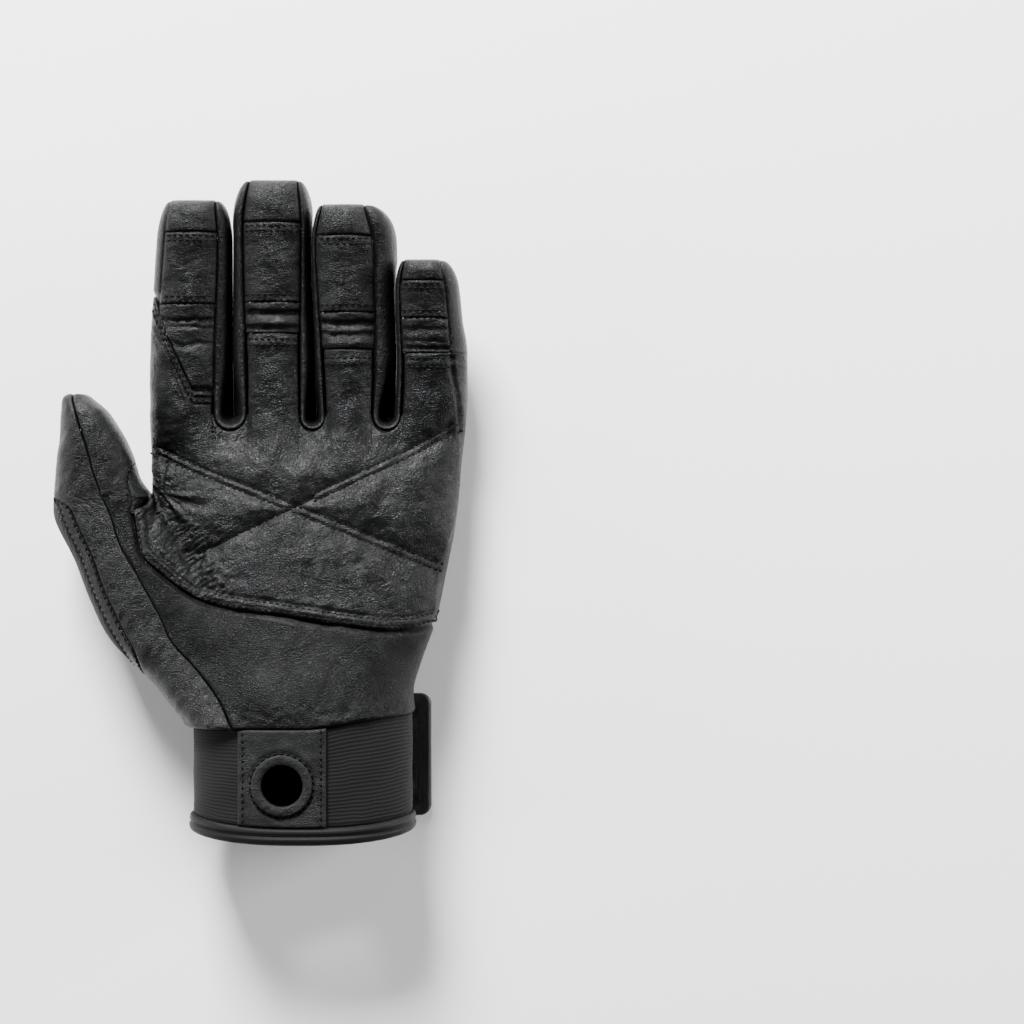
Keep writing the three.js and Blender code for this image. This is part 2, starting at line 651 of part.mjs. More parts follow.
const halfThumb = (y) => (thumb.right(y) - thumb.left(y)) / 2
const TIP_SLIT = 0.3

// The strip between palm side and back at the thumb's outer side
const edgeTable = BACK_EDGE.map((row) => ({
  y: row.along * PALM_LENGTH,
  over: row.over * RIM_WIDTH,
  strip: row.strip * RIM_WIDTH,
}))
const backOver = follow(edgeTable, 'y', 'over')
const stripWidth = follow(edgeTable, 'y', 'strip')
const STRIP_LOW = -0.53 * PALM_LENGTH
const STRIP_HIGH = NOTCH_Y + SEAM_GAP
const TURN_LIMIT = 0.6
const turnLimit = (y, distance) => Math.max(distance, -TURN_LIMIT * halfThumb(y))
function outerStart(y) {
  const beside = y > STRIP_LOW && y < STRIP_HIGH
  return turnLimit(y, backOver(y)) + (beside ? stripWidth(y) + SEAM_GAP : 0)
}

const ys = (from, to, count) => span(count).map((s) => mix(from, to, s))

// Rows that the panels of the thumb share, so that their seams stay parallel: below the crotch,
// and from it to the tip
const LOWER_ROWS = ys(WRIST_Y, NOTCH_Y - INSET, 11)
const FREE_ROWS = span(8).map((s) =>
  mix(NOTCH_Y + INSET, THUMB_TIP_Y - TIP_SLIT, Math.sin((Math.PI / 2) * s)))
const STRIP_ROWS = LOWER_ROWS.filter((y) => y > STRIP_LOW)

function thumbOuter() {
  const block = [...LOWER_ROWS, ...FREE_ROWS].map((y) => {
    const to = thumbSeamX(y) - INSET - thumb.left(y)
    return around(outerStart(y) + INSET, to, halfThumb(y), 6).map((distance) => thumbRim(y, distance))
  })
  panel('thumb_outer', 'leather', block)
}

function rimStrip() {
  const block = STRIP_ROWS.map((y) => {
    const from = backOver(y) + INSET
    const to = from + stripWidth(y) - INSET
    return around(from, to, halfThumb(y), 2).map((distance) => thumbRim(y, distance))
  })
  panel('rim_strip', 'leather', block)
}

// The thumb's inner seam: its distance from the thumb's right outline, on the back near the tip and
// round on the palm side at the crotch
const WEB_REACH = 6
const WEB_TOP_Y = NOTCH_Y + 0.75 * THUMB_LENGTH
function webOver(y) {
  const ramp = clamp((WEB_TOP_Y - y) / (WEB_TOP_Y - NOTCH_Y), 0, 1)
  return turnLimit(y, -BACK_SEAM + (BACK_SEAM + WEB_REACH) * ramp ** 1.5)
}
const thumbInner = (y, distance) => rimPoint(thumb.right, -1, y, distance)

function thumbFront() {
  const block = FREE_ROWS.map((y) => {
    const from = thumb.right(y) - thumbSeamX(y) - INSET
    return around(from, webOver(y) + INSET, halfThumb(y), 6).map((distance) => thumbInner(y, distance))
  })
  panel('thumb_front', 'leather', block)
}

// Heel of the hand: from the thumb seam and the wrist edge to the seam of the palm patch
function palmHeel() {
  const start = [thumb.right(NOTCH_Y) - webOver(NOTCH_Y) - INSET, NOTCH_Y]
  const corner = thumbSeamX(WRIST_Y) + INSET
  const alongSeam = [...LOWER_ROWS].reverse().map((y) => [thumbSeamX(y) + INSET, y])
  const end = outerRight(WRIST_Y + WRIST_RISE)
  const alongWrist = span(8).slice(1).map((s) => {
    const x = mix(corner, end, Math.sin((Math.PI / 2) * s) * 0.5 + s * 0.5)
    return [x, wristEdge(x)]
  })
  const path = [...alongSeam, ...alongWrist]
  const last = path.length - 1
  const block = path.map(([x, y], i) => {
    const [seamX, seamY] = i === 0 ? start : patchSeam((i - 1) / (last - 1))
    return span(6).map((v) => {
      const here = [mix(x, seamX - INSET, v), mix(y, seamY - INSET, v)]
      return i === last ? frontPoint(outerRight(here[1]), here[1]) : frontPoint(here[0], here[1])
    })
  })
  const wraps = WRAP.map((distance) => block[last].map((point) => ulnarRim(point[1], distance)))
  panel('palm_heel', 'leather', flip([...block, ...wraps]))
}

// How far in from the outline, on the back, the side panel stops short of the patch
const EDGE_UNDER = 0.01

// Side panel: down the thumb's inner side, round the crotch and up the hand to the index wing
function webSide() {
  const columns = 5
  const down = FREE_ROWS.filter((y) => y < NOTCH_Y + 0.6 * THUMB_LENGTH).reverse().map((y) =>
    around(-BACK_SEAM + INSET, webOver(y) - INSET, halfThumb(y), columns).map((d) => thumbInner(y, d)))
  const wingY = CROTCH_Y + WING_TOP * INDEX_LENGTH - INSET
  const upRows = [0.08, 0.2, 0.4, 0.6, 0.8, 1].map((s) => mix(NOTCH_Y, ROOT_Y, s))
  const up = [...upRows, ...ys(ROOT_Y, wingY, 4).slice(1)].map((y) => {
    const seam = backLeft(y) - outerLeft(y) - INSET
    return around(-seam, -EDGE_UNDER, PALM_DEPTH / 2, columns).map((d) => radialRim(y, d))
  })
  const a = down[down.length - 1]
  const b = up[0]
  const [seamX, seamY] = patchSeam(0)
  const low = [seamX + SEAM_GAP, seamY + 2 * SEAM_GAP]
  const turnY = mix(seamY, b[columns][1], 0.45)
  const edge = [
    [mix(a[columns][0], low[0], 0.6), mix(a[columns][1], low[1], 0.6)],
    low,
    [patchEdge(turnY) - 1.5 * SEAM_GAP, turnY + 1.5 * SEAM_GAP],
  ]
  const round = edge.map(([edgeX, edgeY], k) => a.map((point, c) => {
    const t = (k + 1) / (edge.length + 1)
    if (c === columns) return frontPoint(edgeX, edgeY)
    const dip = 0.05 * THUMB_LENGTH * Math.sin(Math.PI * t) * (c / columns)
    const x = mix(point[0], b[c][0], t)
    const y = mix(point[1], b[c][1], t) - dip
    return [x, y, c === 0 ? height(x, y, -1) : mix(point[2], b[c][2], t)]
  }))
  panel('web_side', 'leather', [...down, ...round, ...up])
}

// Back of the hand, and back of the thumb
function handBack() {
  const left = backLeft(ROOT_Y) + INSET
  const right = backRight(ROOT_Y) - INSET
  const columns = rootColumns(left, right, BACK_STEPS)
  const foldStart = CUFF_SHIFT - 0.18 * CUFF_WIDTH
  const foldEnd = backLeft(NOTCH_Y) + INSET
  const foldX = (y) => mix(foldStart, foldEnd, smoothstep(WRIST_Y, NOTCH_Y, y))
  const rightEdge = (y) => backRight(y) - INSET
  const topY = NOTCH_Y - INSET
  const lower = LOWER_ROWS.map((y) => {
    const at = (x) => mix(wristEdge(x), topY, (y - WRIST_Y) / (topY - WRIST_Y))
    const rim = around(backOver(y) - INSET, -halfThumb(y), halfThumb(y), 4).map((d) => thumbRim(y, d))
    const centre = thumb.left(y) + halfThumb(y)
    const under = span(2).slice(1).map((s) => backPoint(mix(centre, foldX(y), s), y))
    const rest = columns.slice(1).map((column) => {
      const x = mix(foldX(y), rightEdge(y), (column.x - left) / (right - left))
      return backPoint(x, at(x))
    })
    return [...rim, ...under, ...rest]
  })
  const upper = span(3).map((t) => columns.map((column) => {
    const y = mix(topY, ROOT_Y - INSET - column.dip, t)
    const x = mix(backLeft(y) + INSET, rightEdge(y), (column.x - left) / (right - left))
    return backPoint(x, y)
  }))
  const start = lower[0].length - columns.length
  upper[0].forEach((_, c) => { upper[0][c] = lower[LOWER_ROWS.length - 1][start + c] })
  panel('hand_back', 'woven', flip(lower), flip(upper))
}

function thumbBack() {
  const block = FREE_ROWS.map((y) => {
    const left = turnLimit(y, backOver(y)) - INSET
    const right = thumb.right(y) + turnLimit(y, -BACK_SEAM) - INSET
    const rim = around(left, -halfThumb(y), halfThumb(y), 3).map((d) => thumbRim(y, d))
    const centre = thumb.left(y) + halfThumb(y)
    return [...rim, ...span(3).slice(1).map((s) => backPoint(mix(centre, right, s), y))]
  })
  panel('thumb_back', 'leather', flip(block))
}

// One finger's cap, pad, joint leather and back
function fingerPanels(finger) {
  const steps = 5
  const across = (y, side) => span(steps).map((s) => {
    const x = mix(finger.left(y) + INSET, finger.right(y) - INSET, s)
    return [x, y, fingerHeight(finger, x, y, side)]
  })
  const reach = finger.top - finger.capY
  const turns = span(9).map((s) => mix(0.02 * Math.PI, 0.98 * Math.PI, s))
  const cap = turns.map((turn) => {
    const y = finger.capY + reach * Math.sin(turn) ** (2 / TIP_SQUARE)
    return across(y, Math.cos(turn) > 0 ? 1 : -1)
  })
  panel(`${finger.name}_tip`, 'leather', cap)
  const capStart = cap[0][0][1] - SEAM_GAP
  panel(`${finger.name}_pad`, 'leather', ys(finger.padY + INSET, capStart, 3).map((y) => across(y, 1)))
  const low = (x) => (finger === index ? wingEdge(x) + WING_GAP : finger.patchY + INSET)
  const crease = span(5).map((t) => span(steps).map((s) => {
    const bottomX = mix(finger.left(finger.patchY) + INSET, finger.right(finger.patchY) - INSET, s)
    const y = mix(low(bottomX), finger.padY - INSET, t)
    const x = mix(finger.left(y) + INSET, finger.right(y) - INSET, s)
    return [x, y, fingerHeight(finger, x, y, 1)]
  }))
  panel(`${finger.name}_crease`, 'leather', crease)
  const left = finger === index ? backLeft : finger.left
  const right = finger === little ? backRight : finger.right
  const back = ys(ROOT_Y + INSET, capStart, 6).map((y) => span(steps).map((s) =>
    backPoint(mix(left(y) + INSET, right(y) - INSET, s), y)))
  panel(`${finger.name}_back`, 'leather', flip(back))
}

// Rows over a finger's tip, closer together towards its end
const tipRows = (finger) => [
  ...[0.45, 0.75, 0.92].map((s) => mix(finger.capY, finger.top, s)),
  finger.top - TIP_SLIT,
]

// Strip between two fingers: down one, round the arc and up the other, bulging into the gap
const TOUCH = 0.3
const BEAD = 0.55
function fourchette(gap) {
  const width = (y) => gap.b.left(y) - gap.a.right(y)
  const grow = (y) => smoothstep(gap.rootY, gap.rootY + 0.25 * MIDDLE_LENGTH, y)
  const bead = BEAD * gap.radius
  const bulge = (finger, share, y) =>
    mix(bead, share * width(y) - INSET - TOUCH, grow(y)) * tipRound(finger, y)
  const turns = span(5).map((s) => Math.PI * s)
  const line = (edge, away, lift) => {
    const zf = height(edge[0], edge[1], 1)
    const zb = height(edge[0], edge[1], -1)
    return turns.map((turn) => {
      const out = lift * Math.sin(turn) ** 0.6
      const z = (zf + zb) / 2 - ((zf - zb) / 2) * Math.cos(turn)
      return [edge[0] + away[0] * out, edge[1] + away[1] * out, z]
    })
  }
  const stations = (finger) => [...ys(gap.rootY, finger.capY, 6), ...tipRows(finger)]
  const down = stations(gap.a).reverse().map((y) =>
    line([gap.a.right(y) + INSET, y], [1, 0], bulge(gap.a, gap.a.split, y)))
  const arc = span(ARC_STEPS).slice(1, -1).map((s) => {
    const way = [-Math.cos(Math.PI * s), -Math.sin(Math.PI * s)]
    const reach = gap.radius - INSET
    return line([gap.centre + reach * way[0], gap.rootY + reach * way[1]], [-way[0], -way[1]], bead)
  })
  const up = stations(gap.b).map((y) =>
    line([gap.b.left(y) - INSET, y], [-1, 0], bulge(gap.b, 1 - gap.a.split, y)))
  panel(`fourchette_${gap.a.name}_${gap.b.name}`, 'leather', [...down, ...arc, ...up])
}

// Outer sides of the first and last finger
function outerSides() {
  const sideOf = (finger, outline, seam, back, rim, low) => {
    const rows = [...ys(low, finger.capY, 3), ...tipRows(finger)]
    return rows.map((y) => {
      const bend = Math.max(2 * Math.abs(seam(y) - outline(y)), 1)
      const from = -Math.abs(back(y) - outline(y)) + INSET
      const to = Math.abs(seam(y) - outline(y)) - INSET
      return around(Math.min(from, -0.05), Math.max(to, 0.05), bend, 5).map((d) => rim(y, d))
    })
  }
  const wingY = CROTCH_Y + WING_TOP * INDEX_LENGTH + INSET
  panel('side_index', 'leather', sideOf(index, outerLeft, index.left, backLeft, radialRim, wingY))
  const lowY = little.patchY + INSET
  panel('side_little', 'leather', flip(sideOf(little, outerRight, little.right, backRight, ulnarRim, lowY)))
}

palmPatch()
palmHeel()
thumbFront()
thumbOuter()
thumbBack()
rimStrip()
webSide()
handBack()
fingers.forEach(fingerPanels)
gaps.forEach(fourchette)
outerSides()

const faces = panels.map((item) => describe(weld(item.blocks)))
mitre(faces)
panels.forEach((item, i) => {
  const thickness = item.finish === 'woven' ? CLOTH : LEATHER
  const inner = faces[i].points.map((point, k) =>
    new THREE.Vector3(...point).addScaledVector(faces[i].normals[k], -thickness))
  add(item.name, solid(faces[i], inner), item.finish)
})

// The cuff: an oval tube, squarer on its back
const CUFF_MID = CUFF_DEPTH / 2 + HEM_PROUD + STRAP_THICKNESS + SEAM_GAP
const CUFF_STEPS = 32
function cuffPoint(angle, y, grow) {
  const square = Math.sin(angle) > 0 ? CUFF_SQUARE : BACK_CUFF_SQUARE
  const power = (value) => Math.sign(value) * Math.abs(value) ** (2 / square)
  const x = CUFF_SHIFT + (CUFF_WIDTH / 2 + grow) * power(Math.cos(angle))
  return [x, y, CUFF_MID + (CUFF_DEPTH / 2 + grow) * power(Math.sin(angle))]
}
const cuffTop = (x, grow) =>
  CUFF_MID + (CUFF_DEPTH / 2 + grow) * dome((x - CUFF_SHIFT) / (CUFF_WIDTH / 2 + grow), CUFF_SQUARE)
const bottomEdge = (angle) => WRIST_Y - CUFF_HEIGHT + CUFF_BOW - CUFF_BOW * Math.abs(Math.sin(angle)) ** 1.5
const bottomEdgeAt = (x) => bottomEdge(Math.acos(clamp(((x - CUFF_SHIFT) * 2) / CUFF_WIDTH, -1, 1)))

function cuffLoop(rows, point) {
  return flip(rows.map((row) => span(CUFF_STEPS).map((s) => point(row, 2 * Math.PI * (s === 1 ? 0 : s)))))
}
function loopSolid(outer, inner) {
  const face = describe(weld([outer]))
  const under = weld([inner]).points
  return solid(face, under.map((point) => new THREE.Vector3(...point)))
}

const bandRow = (s, angle, grow) => {
  const top = wristEdge(cuffPoint(angle, 0, 0)[0]) - SEAM_GAP
  return cuffPoint(angle, mix(bottomEdge(angle) + HEM_HEIGHT + SEAM_GAP, top, s), grow)
}
const band = loopSolid(
  cuffLoop(span(1), (s, angle) => bandRow(s, angle, 0)),
  cuffLoop(span(1), (s, angle) => bandRow(s, angle, -KNIT)),
)
const HEM_ROUND = [[0, -0.4], [0.25, 0], [0.75, 0], [1, -0.4]]
const hemRow = ([s, sink], angle, grow) =>
  cuffPoint(angle, bottomEdge(angle) + s * HEM_HEIGHT, grow + Math.sign(grow) * sink * HEM_PROUD)
const hem = loopSolid(
  cuffLoop(HEM_ROUND, (row, angle) => hemRow(row, angle, HEM_PROUD)),
  cuffLoop(HEM_ROUND, (row, angle) => hemRow(row, angle, HEM_PROUD - HEM_THICKNESS)),
)

// The leather tab on the cuff, with its hole and the raised ring round it
const CLIP_X = CUFF_SHIFT - 0.075 * CUFF_WIDTH
const CLIP_Y = WRIST_Y - 0.48 * CUFF_HEIGHT
const TAB_GROW = SEAM_GAP + LEATHER
const tabGrid = (grow) => span(2).map((t) => span(8).map((s) => {
  const x = CLIP_X + (s - 0.5) * CLIP_TAB_WIDTH
  const y = mix(bottomEdgeAt(x) + HEM_HEIGHT + SEAM_GAP, wristEdge(x) - SEAM_GAP, t)
  return [x, y, cuffTop(x, grow)]
}))
const tab = loopSolid(tabGrid(TAB_GROW), tabGrid(SEAM_GAP))
const drill = new THREE.CylinderGeometry(CLIP_HOLE_DIAMETER / 2, CLIP_HOLE_DIAMETER / 2, CUFF_DEPTH, 24)
drill.rotateX(Math.PI / 2)
drill.translate(CLIP_X, CLIP_Y, CUFF_MID + CUFF_DEPTH / 2)
const hole = toManifold(drill)
add('cuff_band', toGeometry(toManifold(band).subtract(hole)), 'knit')
add('cuff_hem', hem, 'hem')
add('clip_tab', toGeometry(toManifold(tab).subtract(hole)), 'leather')

const ringGrid = (z) => [0, 0.2, 0.8, 1].map((s) => span(24).map((t) => {
  const angle = 2 * Math.PI * (t === 1 ? 0 : t)
  const radius = CLIP_HOLE_DIAMETER / 2 + SEAM_GAP / 2 + s * CLIP_RING_WIDTH
  const x = CLIP_X + radius * Math.cos(angle)
  return [x, CLIP_Y + radius * Math.sin(angle), z(x, s)]
}))
const ringTop = cuffTop(CLIP_X, TAB_GROW) + CLIP_RING_HEIGHT
const clipRing = loopSolid(
  flip(ringGrid((x, s) => ringTop - (s === 0 || s === 1 ? 0.3 * CLIP_RING_HEIGHT : 0))),
  flip(ringGrid((x) => cuffTop(x, TAB_GROW + SEAM_GAP))),
)
add('clip_ring', clipRing, 'leather')

// The wrist strap lies flat under the cuff, and its pull tab stands out at the little finger's side
const STRAP_LOW = WRIST_Y - CUFF_HEIGHT + CUFF_BOW + 0.3 * HEM_HEIGHT
const STRAP_LEFT = CUFF_SHIFT - 0.38 * CUFF_WIDTH
const STRAP_RIGHT = CUFF_SHIFT + 0.4 * CUFF_WIDTH
const PULL_RIGHT = CUFF_SHIFT + CUFF_WIDTH / 2 + PULL_TAB_REACH
function plate(left, right, leftCorner, rightCorner, depth) {
  const low = STRAP_LOW
  const high = STRAP_LOW + STRAP_WIDTH
  const shape = new THREE.Shape()
  shape.moveTo(left + leftCorner, low)
  shape.lineTo(right - rightCorner, low)
  shape.absarc(right - rightCorner, low + rightCorner, rightCorner, -Math.PI / 2, 0)
  shape.lineTo(right, high - rightCorner)
  shape.absarc(right - rightCorner, high - rightCorner, rightCorner, 0, Math.PI / 2)
  shape.lineTo(left + leftCorner, high)
  shape.absarc(left + leftCorner, high - leftCorner, leftCorner, Math.PI / 2, Math.PI)
  shape.lineTo(left, low + leftCorner)
  shape.absarc(left + leftCorner, low + leftCorner, leftCorner, Math.PI, 1.5 * Math.PI)
  return new THREE.ExtrudeGeometry(shape, { depth, bevelEnabled: false, curveSegments: 4 })
}
const strap = plate(STRAP_LEFT, STRAP_RIGHT, STRAP_CORNER, CUT_CORNER, STRAP_THICKNESS)
add('closure_strap', strap, 'knit')
const pull = plate(STRAP_RIGHT + SEAM_GAP, PULL_RIGHT, CUT_CORNER, PULL_TAB_CORNER, PULL_TAB_THICKNESS)
add('closure_tab', pull, 'rubber')

export default glove
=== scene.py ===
"""Climbing glove for a left hand, lying palm up on its back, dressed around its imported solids.

Shapes are worked out in millimetres, as arrays of points, and go into Blender in metres.
+Z points up out of the palm, +Y to the fingertips, and the thumb is at -X.
"""

import math
from collections import namedtuple

import bpy
import mathutils
import numpy as np
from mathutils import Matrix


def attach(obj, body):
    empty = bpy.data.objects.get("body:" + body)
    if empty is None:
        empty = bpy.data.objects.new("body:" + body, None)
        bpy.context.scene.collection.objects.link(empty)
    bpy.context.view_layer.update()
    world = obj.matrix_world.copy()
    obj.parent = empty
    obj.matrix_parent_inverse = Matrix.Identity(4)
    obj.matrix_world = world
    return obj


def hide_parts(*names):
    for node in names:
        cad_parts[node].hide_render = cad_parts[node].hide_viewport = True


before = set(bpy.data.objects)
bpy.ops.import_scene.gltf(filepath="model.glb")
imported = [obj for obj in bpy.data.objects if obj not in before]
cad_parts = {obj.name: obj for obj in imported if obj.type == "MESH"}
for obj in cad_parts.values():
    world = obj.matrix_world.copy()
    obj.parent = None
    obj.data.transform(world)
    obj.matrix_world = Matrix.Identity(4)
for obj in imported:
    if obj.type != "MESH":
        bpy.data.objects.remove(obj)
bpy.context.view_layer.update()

bl_info = {
    "name": "Climbing Glove",
    "version": (1, 0, 0),
    "blender": (4, 5, 0),
    "location": "3D View > Sidebar > Glove",
    "description": "Leather climbing glove with stitched panels, an elastic cuff and a clip hole",
    "category": "Add Mesh",
}

MM = 0.001

# Driving sizes of the hand, in millimetres
PALM_LENGTH = 103
PALM_WIDTH = 113
PALM_DEPTH = 34
FINGER_DEPTH = 27
FINGER_RISE = 15
THUMB_LENGTH = 36.4
THUMB_REACH = 34
THUMB_DEPTH = 27

# Driving sizes of the cuff, in millimetres
CUFF_WIDTH = 76.9
CUFF_DEPTH = 44
CUFF_HEIGHT = 40
CUFF_BOW = 4
CUFF_SHIFT = -1
HEM_HEIGHT = 6
HEM_PROUD = 1.2
HEM_THICKNESS = 3.6
HEM_GROOVE = 0.56
CLIP_HOLE_DIAMETER = 14.6
STRAP_THICKNESS = 2
PULL_TAB_REACH = 6
PULL_TAB_THICKNESS = 2.8

# Seams and edges, in millimetres
SEAM_GAP = 0.12
INSET = SEAM_GAP / 2
RIM_WIDTH = 4.5
BACK_SEAM = 4.5
WRIST_RISE = 5

# How square the sections are: 2 is an ellipse, more is squarer
PALM_SQUARE = 2.6
BACK_SQUARE = 3
TIP_SQUARE = 3
CUFF_SQUARE = 2.5
BACK_CUFF_SQUARE = 3.2
HEM_SQUARE = 3.4
RING_SQUARE = 2.4

# Crotches of the fingers and of the thumb, as shares of the palm length, and the leather wing on
# the index finger, as shares of that finger
CROTCH_ALONG = 0.306
NOTCH_ALONG = 0.078
WING_TOP = 0.59
WING_CORNER = 0.63

# The palm's sections are shares of the palm's or, in cuff rows, of the cuff's width and depth
PALM_COLUMNS = ("along", "left", "right", "mid", "top", "low", "cuff")
PALM_SECTIONS = (
    (-0.74, -0.52, 0.516, 0.57, 1.1, 0.08, 1),
    (-0.69, -0.528, 0.52, 0.57, 1.1, 0.08, 1),
    (-0.58, -0.394, 0.335, 0.7, 1.36, 0.09, 0),
    (-0.48, -0.42, 0.36, 0.66, 1.27, 0.02, 0),
    (-0.344, -0.444, 0.404, 0.62, 1.17, -0.05, 0),
    (-0.207, -0.462, 0.431, 0.59, 1.1, -0.06, 0),
    (-0.069, -0.473, 0.456, 0.56, 1.05, -0.06, 0),
    (0.069, -0.484, 0.474, 0.53, 1.0, -0.06, 0),
    (0.207, -0.49, 0.484, 0.47, 0.93, -0.06, 0),
    (0.31, -0.495, 0.495, 0.43, 0.86, -0.05, 0),
    (0.414, -0.495, 0.502, 0.43, 0.83, -0.02, 0),
)
THUMB_COLUMNS = ("palm", "thumb", "left", "right", "mid", "up", "down", "cuff")
THUMB_SECTIONS = (
    (-0.74, 0, -0.519, -0.061, 0.57, 0.52, 0.48, 1),
    (-0.69, 0, -0.537, -0.083, 0.57, 0.51, 0.48, 1),
    (-0.65, 0, -0.575, -0.107, 0.57, 0.47, 0.48, 1),
    (-0.548, 0, 0.029, 1.168, 0.66, 0.73, 0.76, 0),
    (-0.412, 0, -0.391, 0.918, 0.62, 0.69, 0.73, 0),
    (-0.274, 0, -0.609, 0.679, 0.62, 0.66, 0.68, 0),
    (-0.137, 0, -0.771, 0.441, 0.62, 0.63, 0.62, 0),
    (0, 0, -0.974, 0.176, 0.63, 0.58, 0.55, 0),
    (0.078, 0, -0.986, 0.03, 0.65, 0.55, 0.53, 0),
    (0.078, 0.17, -0.965, -0.097, 0.69, 0.53, 0.51, 0),
    (0.078, 0.36, -0.941, -0.156, 0.73, 0.51, 0.5, 0),
    (0.078, 0.55, -0.909, -0.238, 0.76, 0.49, 0.49, 0),
    (0.078, 0.745, -0.897, -0.359, 0.78, 0.46, 0.46, 0),
    (0.078, 0.84, -0.885, -0.432, 0.79, 0.42, 0.42, 0),
    (0.078, 0.937, -0.876, -0.556, 0.79, 0.33, 0.33, 0),
    (0.078, 0.985, -0.835, -0.626, 0.79, 0.23, 0.23, 0),
    (0.078, 1, -0.76, -0.7, 0.79, 0.13, 0.13, 0),
)
THUMB_SEAM_COLUMNS = ("palm", "thumb", "across")
THUMB_SEAM = (
    (-0.7, 0, 0.52),
    (-0.6, 0, 0.55),
    (-0.507, 0, 0.55),
    (-0.41, 0, 0.52),
    (-0.33, 0, 0.54),
    (-0.243, 0, 0.53),
    (-0.168, 0, 0.515),
    (-0.078, 0, 0.51),
    (0.004, 0, 0.56),
    (0.078, 0.03, 0.545),
    (0.078, 0.26, 0.515),
    (0.078, 0.48, 0.46),
    (0.078, 0.7, 0.41),
    (0.078, 0.95, 0.42),
)
PATCH_SEAM_COLUMNS = ("across", "along")
PATCH_SEAM = (
    (-0.525, 0.03),
    (-0.517, -0.01),
    (-0.498, -0.112),
    (-0.442, -0.172),
    (-0.375, -0.229),
    (-0.301, -0.274),
    (-0.215, -0.297),
    (-0.101, -0.314),
    (0.013, -0.334),
    (0.127, -0.354),
    (0.241, -0.37),
    (0.33, -0.368),
    (0.404, -0.35),
)
BACK_EDGE_COLUMNS = ("along", "over", "strip")
BACK_EDGE = (
    (-0.7, -0.6, 0.1),
    (-0.58, -0.4, 0.2),
    (-0.5, 0, 0.6),
    (-0.42, 0.7, 1),
    (-0.2, 0.75, 1),
    (0, 0.9, 1),
    (0.05, 0.6, 0.8),
    (0.085, -0.3, 0.5),
    (0.15, -1.1, 0.1),
)
SEAM_STATIONS = (0, 0.36, 0.82, 1)
FINGERS = (
    {"name": "index", "length": 80.3, "left": (-0.462, -0.458, -0.431, -0.412),
     "right": (-0.288, -0.285, -0.268, -0.276), "cap": 0.827, "pad": 0.547, "patch": 0.17,
     "split": 0.5, "thick": 1},
    {"name": "middle", "length": 87.3, "left": (-0.185, -0.186, -0.188, -0.168),
     "right": (-0.018, -0.019, -0.011, -0.022), "cap": 0.793, "pad": 0.511, "patch": 0.389,
     "split": 0.57, "thick": 1},
    {"name": "ring", "length": 78.9, "left": (0.06, 0.05, 0.036, 0.056),
     "right": (0.206, 0.214, 0.211, 0.182), "cap": 0.829, "pad": 0.521, "patch": 0.36,
     "split": 0.75, "thick": 0.98},
    {"name": "little", "length": 59.6, "left": (0.293, 0.301, 0.297, 0.309),
     "right": (0.475, 0.456, 0.434, 0.417), "cap": 0.847, "pad": 0.654, "patch": 0.453,
     "split": 0, "thick": 0.92},
)

# Folds pressed into the finger leather: height along Y, depth, half width and how far the middle
# hangs below the ends, all in millimetres, with the finger that carries the fold
FOLDS = (
    ("index", 70.2, 0.9, 0.9, 0.8),
    ("index", 66.8, 0.7, 0.8, -0.9),
    ("index", 61.8, 0.6, 0.9, 0.6),
    ("middle", 72.6, 1.9, 0.9, 0.5),
    ("middle", 69.6, -0.7, 1.0, 0.7),
    ("middle", 67.4, 1.0, 0.7, 0.9),
    ("ring", 69.0, 1.9, 1.1, 0.7),
    ("ring", 65.4, 0.8, 0.8, 0.9),
    ("ring", 62.2, -0.6, 0.9, 0.3),
    ("little", 66.6, 0.5, 0.8, 0.4),
    ("little", 62.6, 0.6, 0.8, 0.3),
    ("little", 60.0, 1.6, 0.9, 0.3),
)

# Crossed stitch lines on the palm, as shares of palm width and palm length
QUILT_LINES = (
    ((-0.49, 0.242), (0.43, -0.165)),
    ((0.484, 0.318), (-0.33, -0.113)),
)
QUILT_ROW = 1.25

# The share of each line's length from which it has one row only (over 1 is never), how far the
# valleys run on past the lines' ends, and the share where the second line's two rows end
QUILT_SINGLE = (2, 0.57)
QUILT_RUN = 0.07
QUILT_MEET = 0.575

# Where the little finger's side seam runs on down the palm patch, in millimetres
LITTLE_SIDE_SEAM = ((50.9, 62), (51.6, 54), (53.2, 44), (54.6, 36.5), (55.6, 28))

# The focus of the wrinkles at the thumb crotch, and the line that they crumple along, in millimetres
CROTCH_FOCUS = (-50.5, 9.5)
CROTCH_BED = ((-52, 6), (-32, -22))

# Where the palm patch's edge is its curved seam: below and left of these, in millimetres
PATCH_SEAM_Y = -12
PATCH_SEAM_X = -47

# Where the palm patch meets the little finger's side: above and right of these, in millimetres
LITTLE_MEET_Y = 50
LITTLE_MEET_X = 50

# Where the finger roots crease, and the rows of stitches that swell each lobe, in millimetres
ROOT_CREASE_Y = 26
SWELL = 0.35
SWELL_REACH = 11

NOTCH_Y = NOTCH_ALONG * PALM_LENGTH
THUMB_TIP_Y = NOTCH_Y + THUMB_LENGTH
WRIST_Y = -0.7 * PALM_LENGTH
CROTCH_Y = CROTCH_ALONG * PALM_LENGTH
PALM_EDGE = -0.49 * PALM_WIDTH
EDGE_FALL = 2 * PALM_DEPTH
WEB_BLEND = 0.3 * PALM_DEPTH
WRIST_BLEND = 0.03 * PALM_DEPTH
SEAM_DROP = 0.28
INDEX_SIDE = 0.032
LITTLE_SIDE = 0.045
TURN_LIMIT = 0.6
TIP_SLIT = 0.3
LAP = 0.28
STRIP_LOW = -0.56 * PALM_LENGTH
STRIP_HIGH = NOTCH_Y + 3
STRIP_FADE = 8
TIP_ROUND = 2.2
CAP_TURN = 0.02 * np.pi
FAR = 99.0
WAVES = 14

